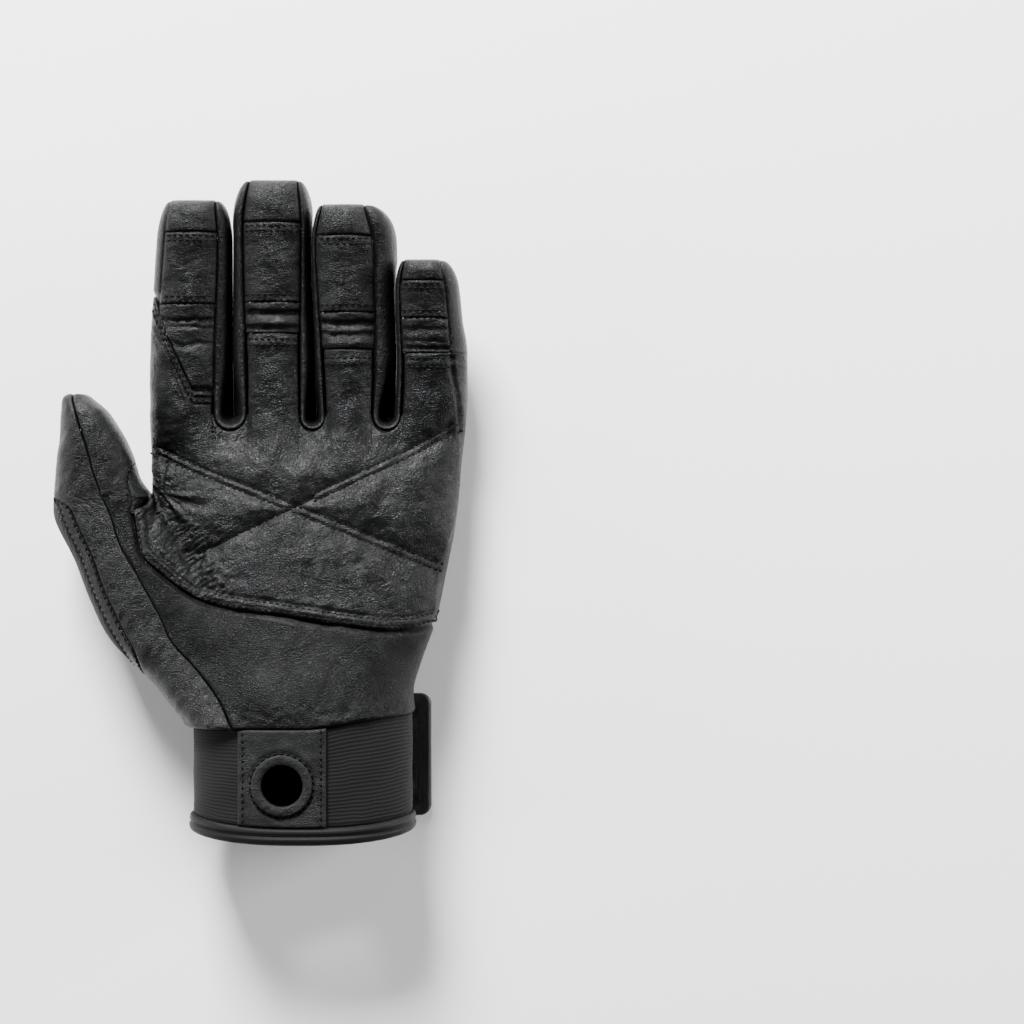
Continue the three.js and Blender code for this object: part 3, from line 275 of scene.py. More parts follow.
# Rolls and grooves beside an edge: how far from it, height and half width, in millimetres
PATCH_BAND = ((2.4, 0.5, 0.9), (4.1, -0.75, 0.7), (1.0, -0.35, 0.4))
WING_ROLLS = ((1.1, 0.6, 0.8), (2.3, -0.45, 0.5), (3.4, 0.3, 0.8), (4.6, -0.35, 0.5))

# How far rows of stitches keep from the edge that they follow, in millimetres
PATCH_ROWS = (1.0, 4.0)
LOBE_ROWS = ((1.3, 3.6), (2.3, 4.5), (3.3, 5.7), (2.1, 5.4))
PAD_TOP_ROWS = (1.1, 2.9)
PAD_LOW_ROWS = (0.9, 2.8)
STRIP_ROW = 0.9
THUMB_ROW = 1.1
TAB_ROW = 2.0
CLIP_ROW = 11

# Widths and lengths of the faces that a step divides into columns and rows, in millimetres
PATCH_SPAN = 62
HEEL_SPAN = 34
WEB_SPAN = 26
OUTER_SPAN = 48
RIM_SPAN = 8
FRONT_SPAN = 26
SIDE_SPAN = 20
UNDER_SPAN = 24
BACK_RIM_SPAN = 30
FINGER_SPAN = 18
TIP_SPAN = 46
GAP_SPAN = 34
CUFF_SPAN = 30

# The stage: lights with their place, target, size and energy, the camera, and half the picture's
# width over its distance; in metres
LIGHTS = (
    ("key light", (-0.3, 1.15, 0.74), (0, 0, 0), 0.5, 118),
    ("right light", (1.2, 0.25, 0.35), (0, 0, 0.02), 0.45, 26),
    ("left light", (-1.2, -0.1, 0.35), (0, 0, 0.02), 0.45, 14),
)
ROOM_LIGHT = 0.14
CAMERA_PLACE = (0.07245, 0.0028, 1.030)
VIEW_SLOPE = 0.1792
FLOOR_REACH = 1.6
FLOOR_POINTS = 33
FLOOR_Z = -0.0004


def mix(a, b, share):
    """Straight line from a to b."""
    return a + (b - a) * share


def smoothstep(low, high, value):
    """Cubic ramp from 0 at low to 1 at high."""
    t = np.clip((value - low) / (high - low), 0, 1)
    return t * t * (3 - 2 * t)


def smooth_max(a, b, width):
    """The larger of two, with the corner rounded by a parabola of the given width."""
    share = np.maximum(width - np.abs(a - b), 0) / width
    return np.maximum(a, b) + share * share * width / 4


def dome(u, square):
    """Superellipse from 1 at the middle to 0 at u = 1."""
    return np.maximum(1 - np.abs(u) ** square, 0) ** (1 / square)


def bell(away, width):
    """1 at no distance, falling off to both sides like a bell of the given width."""
    return np.exp(-((away / width) ** 2))


def reach_along(points):
    """Length along lines of points, from 0 at the first."""
    steps = np.linalg.norm(np.diff(points, axis=0), axis=-1)
    return np.concatenate([np.zeros_like(steps[:1]), np.cumsum(steps, axis=0)])


def follow(keys, values):
    """Smooth curve through a table: cubic pieces, each row's slope being that of its neighbours."""
    keys = np.array(keys, float)
    values = np.array(values, float)
    rows = np.arange(len(keys))
    after = np.minimum(rows + 1, len(keys) - 1)
    before = np.maximum(rows - 1, 0)
    slopes = (values[after] - values[before]) / (keys[after] - keys[before])

    def curve(at):
        at = np.clip(at, keys[0], keys[-1])
        i = np.clip(np.searchsorted(keys, at) - 1, 0, len(keys) - 2)
        h = keys[i + 1] - keys[i]
        t = (at - keys[i]) / h
        a = values[i] * (1 + 2 * t) * (1 - t) ** 2 + slopes[i] * h * t * (1 - t) ** 2
        b = values[i + 1] * t * t * (3 - 2 * t) + slopes[i + 1] * h * t * t * (t - 1)
        return a + b

    return curve


def table(columns, rows):
    """The table's columns as arrays, by name."""
    return dict(zip(columns, np.array(rows, float).T))


Tube = namedtuple("Tube", "left right mid top low")


def palm_tube():
    """The palm's outlines and heights as curves of y."""
    t = table(PALM_COLUMNS, PALM_SECTIONS)
    width = np.where(t["cuff"] > 0, CUFF_WIDTH, PALM_WIDTH)
    depth = np.where(t["cuff"] > 0, CUFF_DEPTH, PALM_DEPTH)
    shift = np.where(t["cuff"] > 0, CUFF_SHIFT, 0)
    y = t["along"] * PALM_LENGTH
    sides = [follow(y, shift + t[side] * width) for side in ("left", "right")]
    return Tube(*sides, *[follow(y, t[part] * depth) for part in ("mid", "top", "low")])


def thumb_tube():
    """The thumb's outlines and heights as curves of y."""
    t = table(THUMB_COLUMNS, THUMB_SECTIONS)
    width = np.where(t["cuff"] > 0, CUFF_WIDTH, THUMB_REACH)
    start = np.where(t["cuff"] > 0, CUFF_SHIFT, PALM_EDGE)
    mid = t["mid"] * np.where(t["cuff"] > 0, CUFF_DEPTH, PALM_DEPTH)
    depth = np.where(t["cuff"] > 0, CUFF_DEPTH, THUMB_DEPTH)
    y = t["palm"] * PALM_LENGTH + t["thumb"] * THUMB_LENGTH
    sides = [follow(y, start + t[side] * width) for side in ("left", "right")]
    heights = (mid, mid + t["up"] * depth, mid - t["down"] * depth)
    return Tube(*sides, *[follow(y, height) for height in heights])


PALM = palm_tube()
THUMB = thumb_tube()


class Finger:
    """One finger's seams, cross seams and half depth."""

    def __init__(self, name, length, left, right, cap, pad, patch, split, thick):
        y = CROTCH_Y + np.array(SEAM_STATIONS) * length
        self.name = name
        self.length = length
        self.split = split
        self.thick = thick
        self.left = follow(y, np.array(left) * PALM_WIDTH)
        self.right = follow(y, np.array(right) * PALM_WIDTH)
        self.top = CROTCH_Y + length
        self.cap_y = CROTCH_Y + cap * length
        self.pad_y = CROTCH_Y + pad * length
        self.patch_y = CROTCH_Y + patch * length

    def share(self, y):
        return np.clip((y - CROTCH_Y) / self.length, 0, 1)

    def mid(self, y):
        return 0.43 * PALM_DEPTH + FINGER_RISE * self.share(y) ** 1.6

    def half(self, y):
        full = self.thick * FINGER_DEPTH * (1 - 0.12 * self.share(y)) / 2
        return full * tip_round(self, y, TIP_SQUARE)


HAND = [Finger(**row) for row in FINGERS]
INDEX, MIDDLE, RING, LITTLE = HAND


def tip_round(finger, y, square=TIP_ROUND):
    """1 below the cap, falling to 0 at the finger's top."""
    return dome(np.clip((y - finger.cap_y) / (finger.top - finger.cap_y), 0, 1), square)


def outer_left(y):
    """Outline at the thumb's side: the palm's, then beside the index finger's left seam."""
    side = INDEX.left(y) - INDEX_SIDE * PALM_WIDTH
    edge = mix(PALM.left(y), side, smoothstep(CROTCH_Y, INDEX.pad_y, y))
    return mix(INDEX.left(y), edge, tip_round(INDEX, y))


def outer_right(y):
    """Outline at the other side: the palm's, then beside the little finger's right seam."""
    side = LITTLE.right(y) + LITTLE_SIDE * PALM_WIDTH
    edge = mix(PALM.right(y), side, smoothstep(LITTLE.patch_y, LITTLE.pad_y, y))
    return mix(LITTLE.right(y), edge, tip_round(LITTLE, y))


def tube_height(tube, x, y, side, square):
    """Height of a tube's face: a superellipse inside its outline, a steep fall outside."""
    left = tube.left(y)
    right = tube.right(y)
    mid = tube.mid(y)
    u = np.abs((2 * x - left - right) / (right - left))
    reach = (tube.top(y) if side > 0 else tube.low(y)) - mid
    return np.where(u >= 1, mid - side * (u - 1) * EDGE_FALL, mid + reach * dome(u, square))


def hand_height(x, y, side):
    """Palm and thumb, blended where they meet; the back rests on the floor."""
    blend = mix(WRIST_BLEND, WEB_BLEND, smoothstep(0.9 * WRIST_Y, 0.4 * WRIST_Y, y))
    square = PALM_SQUARE if side > 0 else BACK_SQUARE
    a = tube_height(PALM, x, y, side, square)
    b = tube_height(THUMB, x, y, side, square)
    height = side * smooth_max(side * a, side * b, blend)
    return height if side > 0 else np.maximum(height, 0)


def finger_height(finger, x, y, side):
    """A finger's face: it drops to its seams by a power of the distance from its middle line, and
    rounds right over at an outer side."""
    left = finger.left(y)
    right = finger.right(y)
    centre = (left + right) / 2
    u = 2 * (x - centre) / (right - left)
    share = 1 - SEAM_DROP * np.minimum(np.abs(u), 1.3) ** 2.5
    if finger is INDEX:
        share = np.where(u < 0, dome((centre - x) / (centre - outer_left(y)), PALM_SQUARE), share)
    if finger is LITTLE:
        share = np.where(u > 0, dome((x - centre) / (outer_right(y) - centre), PALM_SQUARE), share)
    return finger.mid(y) + side * finger.half(y) * share


def fingers_height(x, y, side):
    """The row of fingers, with a straight line across each gap."""
    height = finger_height(HAND[-1], x, y, side)
    for finger, following in reversed(list(zip(HAND, HAND[1:]))):
        right = finger.right(y)
        left = following.left(y)
        a = finger_height(finger, right, y, side)
        b = finger_height(following, left, y, side)
        across = mix(a, b, (x - right) / (left - right))
        height = np.where(x < left, across, height)
        height = np.where(x <= right, finger_height(finger, x, y, side), height)
    return height


def surface(x, y, side):
    """Height of the whole glove's front or back."""
    x, y = np.broadcast_arrays(np.asarray(x, float), np.asarray(y, float))
    on_thumb = 2 * x < THUMB.right(y) + PALM.left(y)
    low = CROTCH_Y - 0.16 * PALM_LENGTH
    high = CROTCH_Y + 0.08 * PALM_LENGTH
    share = np.where(on_thumb, 0, smoothstep(low, high, y))
    return mix(hand_height(x, y, side), fingers_height(x, y, side), share)


def points_at(x, y, side):
    """Points of the front or back over plan places."""
    x, y = np.broadcast_arrays(np.asarray(x, float), np.asarray(y, float))
    return np.stack([x, y, surface(x, y, side)], axis=-1)


def rim_points(outline, inwards, y, distance):
    """Points by their distance inwards from an outline: on the front if positive, else the back."""
    x = outline(y) + inwards * np.abs(distance)
    z = np.where(distance > 0, surface(x, y, 1), surface(x, y, -1))
    return np.stack([x, np.broadcast_to(y, x.shape), z], axis=-1)


def around(start, end, bend, count):
    """Distances from start to end for each row, evenly spaced by the angle of a turn of radius
    bend, so that they crowd where the outline turns over."""
    start, end, bend = np.broadcast_arrays(*(np.asarray(v, float) for v in (start, end, bend)))

    def angle(distance):
        return np.sign(distance) * np.arccos(1 - np.clip(np.abs(distance) / bend, 0, 2))

    turn = mix(angle(start)[:, None], angle(end)[:, None], np.linspace(0, 1, count + 1)[None])
    return np.sign(turn) * bend[:, None] * (1 - np.cos(turn))


def rim_block(outline, inwards, y, start, end, bend, count):
    """Rows of points over an outline, from one distance inwards to another."""
    return rim_points(outline, inwards, y[:, None], around(start, end, bend, count))


# The gaps between fingers, each with an arc at its bottom
Gap = namedtuple("Gap", "a b left right centre radius root_y")


def gap_between(a, b):
    """Where two fingers part: an arc between their seams."""
    root_y = CROTCH_Y + (b.left(CROTCH_Y) - a.right(CROTCH_Y)) / 2
    left = a.right(root_y)
    right = b.left(root_y)
    return Gap(a, b, left, right, (left + right) / 2, (right - left) / 2, root_y)


GAPS = [gap_between(a, b) for a, b in zip(HAND, HAND[1:])]
ROOT_Y = max(gap.root_y for gap in GAPS) + SEAM_GAP
ARC_EASE = 0.1


def back_left(y):
    """Back seam at the thumb's side."""
    return mix(PALM.left(y) + BACK_SEAM, INDEX.left(y), smoothstep(ROOT_Y, INDEX.pad_y, y))


def back_right(y):
    """Back seam at the other side."""
    return mix(PALM.right(y) - BACK_SEAM, LITTLE.right(y), smoothstep(ROOT_Y, LITTLE.pad_y, y))


def root_columns(left, right, step):
    """Places across the hand at the finger roots, the lobe each lies in (-1 in a gap) and how far
    the edge dips there: a half circle under every gap."""
    places, lobes, dips = [], [], []
    starts = [left] + [gap.right + INSET for gap in GAPS]
    ends = [gap.left - INSET for gap in GAPS] + [right]
    for i, (start, end) in enumerate(zip(starts, ends)):
        s = np.linspace(0, 1, int(np.ceil((end - start) / step)) + 1)
        if i == 0:
            s = 1 - np.cos(np.pi / 2 * s)
        if i == len(GAPS):
            s = np.sin(np.pi / 2 * s)
        places.append(mix(start, end, s))
        lobes.append(np.full(len(s), i))
        dips.append(np.zeros(len(s)))
        if i < len(GAPS):
            gap = GAPS[i]
            reach = gap.radius + INSET
            turn = np.linspace(0, np.pi, int(np.ceil(np.pi * reach / step)) + 1)
            places.append(gap.centre - (reach - ARC_EASE) * np.cos(turn))
            lobes.append(np.full(len(turn), -1))
            dips.append(reach * np.sin(turn) + ROOT_Y - gap.root_y)
    return np.concatenate(places), np.concatenate(lobes), np.concatenate(dips)


PATCH = table(PATCH_SEAM_COLUMNS, PATCH_SEAM)
PATCH_SHARES = np.linspace(0, 1, len(PATCH_SEAM))
patch_across = follow(PATCH_SHARES, PATCH["across"])
patch_along = follow(PATCH_SHARES, PATCH["along"])


def patch_seam(s):
    """The palm patch's curved seam in plan."""
    return patch_across(s) * PALM_WIDTH, patch_along(s) * PALM_LENGTH


CROTCH_END = NOTCH_Y - 0.02 * PALM_LENGTH


def patch_edge(y):
    """The patch's edge at the thumb crotch, going over from its seam to the outline."""
    seam_x, seam_y = patch_seam(0)
    return mix(seam_x, outer_left(y), smoothstep(seam_y, CROTCH_END, y))


def wing_edge(x):
    """The leather wing's upper edge on the index finger: level, then rising to the outside."""
    y = INDEX.patch_y
    corner = mix(INDEX.left(y), INDEX.right(y), WING_CORNER)
    rise = np.clip((corner - x) / (corner - outer_left(y)), 0, 1)
    return mix(y, CROTCH_Y + WING_TOP * INDEX.length, rise)


SEAM = table(THUMB_SEAM_COLUMNS, THUMB_SEAM)
SEAM_Y = SEAM["palm"] * PALM_LENGTH + SEAM["thumb"] * THUMB_LENGTH
thumb_seam_x = follow(SEAM_Y, mix(THUMB.left(SEAM_Y), THUMB.right(SEAM_Y), SEAM["across"]))


def wrist_edge(x):
    """Where the hand meets the cuff."""
    return WRIST_Y + WRIST_RISE * smoothstep(CUFF_SHIFT, CUFF_SHIFT + 0.55 * CUFF_WIDTH, x)


def half_thumb(y):
    return (THUMB.right(y) - THUMB.left(y)) / 2


EDGE = table(BACK_EDGE_COLUMNS, BACK_EDGE)
back_over = follow(EDGE["along"] * PALM_LENGTH, EDGE["over"] * RIM_WIDTH)
full_strip = follow(EDGE["along"] * PALM_LENGTH, EDGE["strip"] * RIM_WIDTH)


def strip_width(y):
    """Width of the leather strip beside the woven back, run out to nothing at both ends."""
    low = smoothstep(STRIP_LOW, STRIP_LOW + STRIP_FADE, y)
    high = smoothstep(STRIP_HIGH, STRIP_HIGH - STRIP_FADE, y)
    return full_strip(y) * low * high


def turn_limit(y, distance):
    return np.maximum(distance, -TURN_LIMIT * half_thumb(y))


WEB_REACH = 6
WEB_TOP_Y = NOTCH_Y + 0.75 * THUMB_LENGTH


def web_over(y):
    """The thumb's inner seam: on the back near the tip, round on the front at the crotch."""
    ramp = np.clip((WEB_TOP_Y - y) / (WEB_TOP_Y - NOTCH_Y), 0, 1)
    return turn_limit(y, -BACK_SEAM + (BACK_SEAM + WEB_REACH) * ramp ** 1.5)


# Relief: what the leather does between its seams


def segment_distance(x, y, start, end):
    """Distance in plan from places to a straight line, and how far along it they lie, 0 to 1."""
    way = np.subtract(end, start)
    along = ((x - start[0]) * way[0] + (y - start[1]) * way[1]) / (way @ way)
    along = np.clip(along, 0, 1)
    return np.hypot(x - start[0] - along * way[0], y - start[1] - along * way[1]), along


def ripples(x, y, size, seed, turn=0.0, stretch=1.0):
    """Smooth uneven field about -1 to 1: a sum of cosine waves of about the given length, in
    directions drawn from a seeded generator; stretched along the turned axis."""
    draw = np.random.default_rng(seed)
    a = x * np.cos(turn) + y * np.sin(turn)
    b = (y * np.cos(turn) - x * np.sin(turn)) * stretch
    total = np.zeros(np.shape(a))
    for _ in range(WAVES):
        way = draw.uniform(0, 2 * np.pi)
        number = 2 * np.pi / (size * draw.uniform(0.6, 1.6))
        phase = draw.uniform(0, 2 * np.pi)
        total = total + np.cos(number * (a * np.cos(way) + b * np.sin(way)) + phase)
    return total / WAVES ** 0.5


def creases(x, y, size, seed, turn, stretch):
    """Sharp valleys between soft swellings, from 0 at a swelling to 1 in a valley."""
    return np.clip(1 - 1.6 * np.abs(ripples(x, y, size, seed, turn, stretch)), 0, 1) ** 1.5


def quilt_relief(x, y):
    """Valleys along the crossed stitch lines, with a ridge between their two rows."""
    total = np.zeros(np.shape(x))
    for (start, end), single in zip(QUILT_LINES, QUILT_SINGLE):
        a = np.multiply(start, (PALM_WIDTH, PALM_LENGTH))
        b = np.multiply(end, (PALM_WIDTH, PALM_LENGTH))
        end = mix(a, b, 1 + QUILT_RUN) if single > 1 else b
        away, along = segment_distance(x, y, mix(a, b, -QUILT_RUN), end)
        double = smoothstep(single + 0.03, single, along)
        valley = 2.3 * np.exp(-((away / 5) ** 1.5))
        rows = 0.5 * bell(away - QUILT_ROW * double, 0.5)
        ridge = 0.6 * double * bell(away, 0.8)
        total = np.minimum(total, ridge - valley - rows)
    inside = smoothstep(0, 5, PALM.right(y) - x) * smoothstep(0, 4, x - PALM.left(y))
    return total * mix(0.25, 1, inside)


def crotch_relief(x, y):
    """Wrinkles that fan out from the thumb crotch over the palm, fading with distance."""
    dx = x - CROTCH_FOCUS[0]
    dy = y - CROTCH_FOCUS[1]
    away = np.hypot(dx, dy)
    angle = np.arctan2(dy, dx)
    fan = np.cos(9 * angle + 1.2 * np.sin(0.25 * away)) * 0.6 + 0.4 * np.cos(17 * angle + 2)
    near = bell(away, 17) * smoothstep(1.5, 6, away)
    bed, _ = segment_distance(x, y, *CROTCH_BED)
    crumple = creases(x, y, 6, 21, 0.9, 2.2) * bell(bed, 7.5)
    return 0.9 * fan * near - 1.3 * crumple


def fold_relief(x, y):
    """Cross folds of the fingers, each hanging a little lower or higher at its middle."""
    total = np.zeros(np.shape(x))
    for name, at, depth, width, hang in FOLDS:
        finger = next(f for f in HAND if f.name == name)
        left = finger.left(at)
        right = finger.right(at)
        u = (2 * x - left - right) / (right - left)
        line = at - hang * (1 - u * u) + 0.35 * ripples(x, y, 6, int(at))
        inside = (np.abs(u) < 1.6) * bell(np.maximum(np.abs(u) - 0.9, 0), 0.25)
        total = total - depth * bell(y - line, width) * inside
    return total


def hand_relief(x, y):
    """All that the front leather does, in millimetres out of the surface."""
    soft = 0.3 * ripples(x, y, 15, 3) + 0.12 * ripples(x, y, 6, 4, 0.1, 1.6)
    fine = 0.16 * creases(x, y, 5.5, 5, 0.15, 2.4)
    return soft - fine + quilt_relief(x, y) + crotch_relief(x, y) + fold_relief(x, y)


def line_distance(x, y, line):
    """Distance in plan from places to a line of many short pieces."""
    return np.min([segment_distance(x, y, a, b)[0] for a, b in zip(line, line[1:])], axis=0)


PATCH_LINE = list(zip(*patch_seam(np.linspace(0, 1, 30))))


def rolls(away, profile):
    """Height of the rolls and grooves beside an edge, by the distance from it."""
    return sum(height * bell(away - at, width) for at, height, width in profile)


def patch_relief(x, y):
    """The palm patch's relief: a raised band along its curved seam, a rolled edge along the wing,
    creases at the finger roots and the little finger's side seam."""
    roots = 0.3 * creases(x, y, 5, 11, 1.2, 2.2) * bell(y - ROOT_CREASE_Y, 6)
    side = -bell(line_distance(x, y, LITTLE_SIDE_SEAM), 0.7)
    low = (y < 5).nonzero()
    away = np.full(np.shape(x), FAR)
    away[low] = line_distance(x[low], y[low], PATCH_LINE)
    slope = math.hypot(1, (wing_edge(-60) - wing_edge(-40)) / 20)
    inside = (wing_edge(x) - y) / np.where(wing_edge(x) > INDEX.patch_y, slope, 1)
    on_wing = (x < INDEX.right(y) - 0.5) & (y > CROTCH_Y + 5)
    rows = sum(
        SWELL * bell(y - finger.patch_y + at, 1.1) * (np.abs(x - middle_x(finger)) < SWELL_REACH)
        for finger, at in ((MIDDLE, 3.5), (RING, 4.5), (LITTLE, 3.8))
    )
    band = rolls(away, PATCH_BAND) + rolls(inside, WING_ROLLS) * on_wing
    return hand_relief(x, y) - roots + side + band + rows


def middle_x(finger):
    return (finger.left(finger.patch_y) + finger.right(finger.patch_y)) / 2


def heel_sink(x, y):
    """The heel goes under the palm patch along the curved seam, and just under the thumb's front."""
    under = 0.05 * smoothstep(NOTCH_Y - 0.5, NOTCH_Y + 0.3, y) * (x < -52)
    return 1.35 * (1 - smoothstep(0.5, 2.2, line_distance(x, y, PATCH_LINE))) + under


def heel_relief(x, y):
    """The heel of the hand: soft swellings, and drawn in a little above the cuff."""
    soft = 0.3 * ripples(x, y, 22, 31) + 0.12 * ripples(x, y, 9, 32)
    drawn = creases(x, y, 7, 33, 0.0, 2.2) * bell(y - WRIST_Y - 5, 5)
    return soft - 0.45 * drawn


def thumb_relief(x, y):
    """The thumb's leather: long soft folds along it, and a crease near its root."""
    soft = 0.25 * ripples(x, y, 18, 41) + 0.12 * ripples(x, y, 7, 42, 1.1, 1.7)
    root = creases(x, y, 7, 43, 0.35, 2.4) * bell(y - NOTCH_Y + 2, 7)
    return soft - 0.35 * root


def web_relief(x, y):
    """The web between thumb and palm: crumpled along its length."""
    return 0.2 * ripples(x, y, 9, 51) - 0.6 * creases(x, y, 5, 52, 1.3, 2.0)


def tip_relief(x, y):
    """Finger ends: slightly puckered along the top."""
    return 0.14 * ripples(x, y, 9, 61) - 0.15 * creases(x, y, 4, 62, 0.1, 1.5)


# Meshes


Sheet = namedtuple("Sheet", "piece blocks")


def grid_faces(rows, columns, start):
    """Four-sided faces of a grid whose points are numbered row by row from start."""
    first = start + np.arange(rows - 1)[:, None] * columns + np.arange(columns - 1)[None]
    quads = np.stack([first, first + 1, first + columns + 1, first + columns], axis=-1)
    return quads.reshape(-1, 4)


WELD_PLACES = 500
CHUNK = 4000
RELIEF_FADE = 1.5


def weld(points, faces):
    """Joins points that share a place to 0.002 mm, and drops faces with no area."""
    places = np.round(points * WELD_PLACES)
    _, first, ids = np.unique(places, axis=0, return_index=True, return_inverse=True)
    ids = ids.reshape(-1)
    joined = ids[faces]
    real = np.array([joined[:, k] != joined[:, (k + 1) % 4] for k in range(4)]).sum(axis=0) >= 3
    real &= (joined[:, 0] != joined[:, 2]) & (joined[:, 1] != joined[:, 3])
    return points[first], joined[real], ids, faces[real]


def vertex_normals(points, faces):
    """Mean outward direction at every point, from the diagonals of its faces."""
    cross = np.cross(points[faces[:, 2]] - points[faces[:, 0]], points[faces[:, 3]] - points[faces[:, 1]])
    total = np.zeros_like(points)
    for k in range(4):
        np.add.at(total, faces[:, k], cross)
    return total / np.maximum(np.linalg.norm(total, axis=1, keepdims=True), 1e-12)


def rim_of(faces):
    """Numbers of the points on the open edges."""
    edges = np.concatenate([faces[:, [k, (k + 1) % 4]] for k in range(4)])
    edges = np.sort(edges[edges[:, 0] != edges[:, 1]], axis=1)
    pairs, counts = np.unique(edges, axis=0, return_counts=True)
    return np.unique(pairs[counts == 1])


def distance_to(points, rim):
    """Distance from every point to the nearest rim point; far off if there is no rim."""
    away = np.full(len(points), FAR)
    for i in range(0, len(points) if len(rim) else 0, CHUNK):
        part = points[i:i + CHUNK, None] - rim[None]
        away[i:i + CHUNK] = np.sqrt((part ** 2).sum(axis=2).min(axis=1))
    return away


def turned_edge(away, depth, width):
    """A rounded edge: a quarter ellipse from its full drop at the rim to none at the width."""
    u = 1 - np.clip(away / width, 0, 1)
    return -depth * (1 - np.sqrt(1 - u * u))


def split_faces(faces):
    """Four-sided faces, triangles (faces with one doubled corner) and the corners they keep."""
    doubled = faces == np.roll(faces, -1, axis=1)
    thin = doubled.any(axis=1)
    return faces[~thin], faces[thin][~doubled[thin]].reshape(-1, 3), thin, doubled


def new_object(name, points, faces, smooth=True):
    """A Blender mesh object from points in metres."""
    mesh = bpy.data.meshes.new(name)
    mesh.from_pydata(points.reshape(-1, 3).tolist(), [], faces)
    if smooth:
        mesh.polygons.foreach_set("use_smooth", np.ones(len(mesh.polygons), bool))
    made = bpy.data.objects.new(name, mesh)
    bpy.context.scene.collection.objects.link(made)
    return made


def put_mesh(name, points, faces, corner_uvs=None):
    """A piece from points in millimetres, with the flat places of its corners as its UV."""
    quads, triangles, thin, doubled = split_faces(faces)
    piece = new_object(name, points * MM, quads.tolist() + triangles.tolist())
    if corner_uvs is not None:
        whole = corner_uvs[~thin].reshape(-1, 2)
        rest = corner_uvs[thin][~doubled[thin]].reshape(-1, 2)
        layer = piece.data.uv_layers.new(name="cut")
        layer.data.foreach_set("uv", (np.concatenate([whole, rest]) * MM).reshape(-1))
    piece.data.update()
    return piece


def pierce(points, faces, corners, hole):
    """Cuts a round upright hole in a sheet's top: points inside it move out to its edge, and the
    faces that lie wholly within go."""
    x, y, radius = hole
    away = np.hypot(points[:, 0] - x, points[:, 1] - y)
    inside = (away < radius) & (points[:, 2] > CUFF_MID)
    push = np.where(inside, radius / np.maximum(away, 1e-6), 1)
    points[:, 0] = x + (points[:, 0] - x) * push
    points[:, 1] = y + (points[:, 1] - y) * push
    keep = ~inside[faces].all(axis=1)
    return faces[keep], corners[keep]


def own(piece, material, replaced=None):
    """Gives a piece its material and ties it to the frame."""
    piece.data.materials.append(material)
    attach(piece, "root")
    if replaced:
        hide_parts(replaced)


def lift_of(points, faces, normals, relief, edge, sink):
    """How far points move out along their normals: their turned edge, their relief where they face
    up, and less what sinks under a neighbour."""
    x, y, _ = points.T
    away = distance_to(points, points[rim_of(faces)])
    depth = edge[0](x, y) if callable(edge[0]) else edge[0]
    lift = turned_edge(away, depth, edge[1])
    if relief is not None:
        lift += relief(x, y) * np.clip(normals[:, 2] * 2, 0, 1) * smoothstep(0, RELIEF_FADE, away)
    if sink is not None:
        lift -= sink(x, y)
    return lift


def panel(name, blocks, material, relief=None, edge=(0.6, 1.3), sink=None, uvs=None, thickness=None,
          hole=None):
    """A sheet from its outer face's blocks of points: welded, displaced along its normals, then
    given its thickness. A closed one has thickness 0."""
    loose = np.concatenate([block.reshape(-1, 3) for block in blocks])
    ends = np.cumsum([block[..., 0].size for block in blocks])
    numbers = np.split(np.arange(len(loose)), ends[:-1])
    grids = [grid_faces(*block.shape[:2], mine[0]) for block, mine in zip(blocks, numbers)]
    points, faces, ids, corners = weld(loose, np.concatenate(grids))
    if hole is not None:
        faces, corners = pierce(points, faces, corners, hole)
    normals = vertex_normals(points, faces)
    points = points + normals * lift_of(points, faces, normals, relief, edge, sink)[:, None]
    normals = vertex_normals(points, faces)
    corner_uvs = None
    if uvs is not None:
        corner_uvs = np.concatenate([uv.reshape(-1, 2) for uv in uvs])[corners]
    piece = put_mesh(f"{name}_skin", points, faces, corner_uvs)
    if thickness != 0:
        solidify = piece.modifiers.new("thickness", "SOLIDIFY")
        solidify.thickness = thickness or sizes().leather
        solidify.offset = -1
    own(piece, material, name)
    placed = [ids[mine].reshape(block.shape[:2]) for block, mine in zip(blocks, numbers)]
    return Sheet(piece, [(points[here], normals[here]) for here in placed])


def flip(block):
    """The same grid facing the other way."""
    return block[:, ::-1]


# Stitches


def along_edge(placed, side, distance):
    """Points and normals of a line that keeps its distance from one side of a grid, measured over
    the surface: first and last are its rows, left and right its columns."""
    points, normals = placed
    if side in ("left", "right"):
        points = points.transpose(1, 0, 2)
        normals = normals.transpose(1, 0, 2)
    if side in ("last", "right"):
        points = points[::-1]
        normals = normals[::-1]
    reach = reach_along(points)
    i = np.clip((reach < distance).sum(axis=0) - 1, 0, len(reach) - 2)
    c = np.arange(points.shape[1])
    t = ((distance - reach[i, c]) / np.maximum(reach[i + 1, c] - reach[i, c], 1e-6))[:, None]
    return mix(points[i, c], points[i + 1, c], t), mix(normals[i, c], normals[i + 1, c], t)


def cut(line, start, end):
    """A stretch of a line, as shares of its length."""
    points, normals = line
    reach = reach_along(points)
    keep = (reach >= start * reach[-1]) & (reach <= end * reach[-1])
    return points[keep], normals[keep]


def front_line(places, relief, step=0.4):
    """A line over the front surface through plan places, with its relief and normals."""
    places = np.array(places, float)
    reach = reach_along(places)
    s = np.arange(0, reach[-1], step)
    x = np.interp(s, reach, places[:, 0])
    y = np.interp(s, reach, places[:, 1])

    def height(px, py):
        return surface(px, py, 1) + relief(px, py)

    slope_x = height(x + 0.5, y) - height(x - 0.5, y)
    slope_y = height(x, y + 0.5) - height(x, y - 0.5)
    normals = np.stack([-slope_x, -slope_y, np.ones_like(x)], axis=1)
    normals /= np.linalg.norm(normals, axis=1, keepdims=True)
    return np.stack([x, y, height(x, y)], axis=1), normals


STITCH_RINGS = 5
STITCH_SIDES = 6
STITCH_LIFT = 0.12


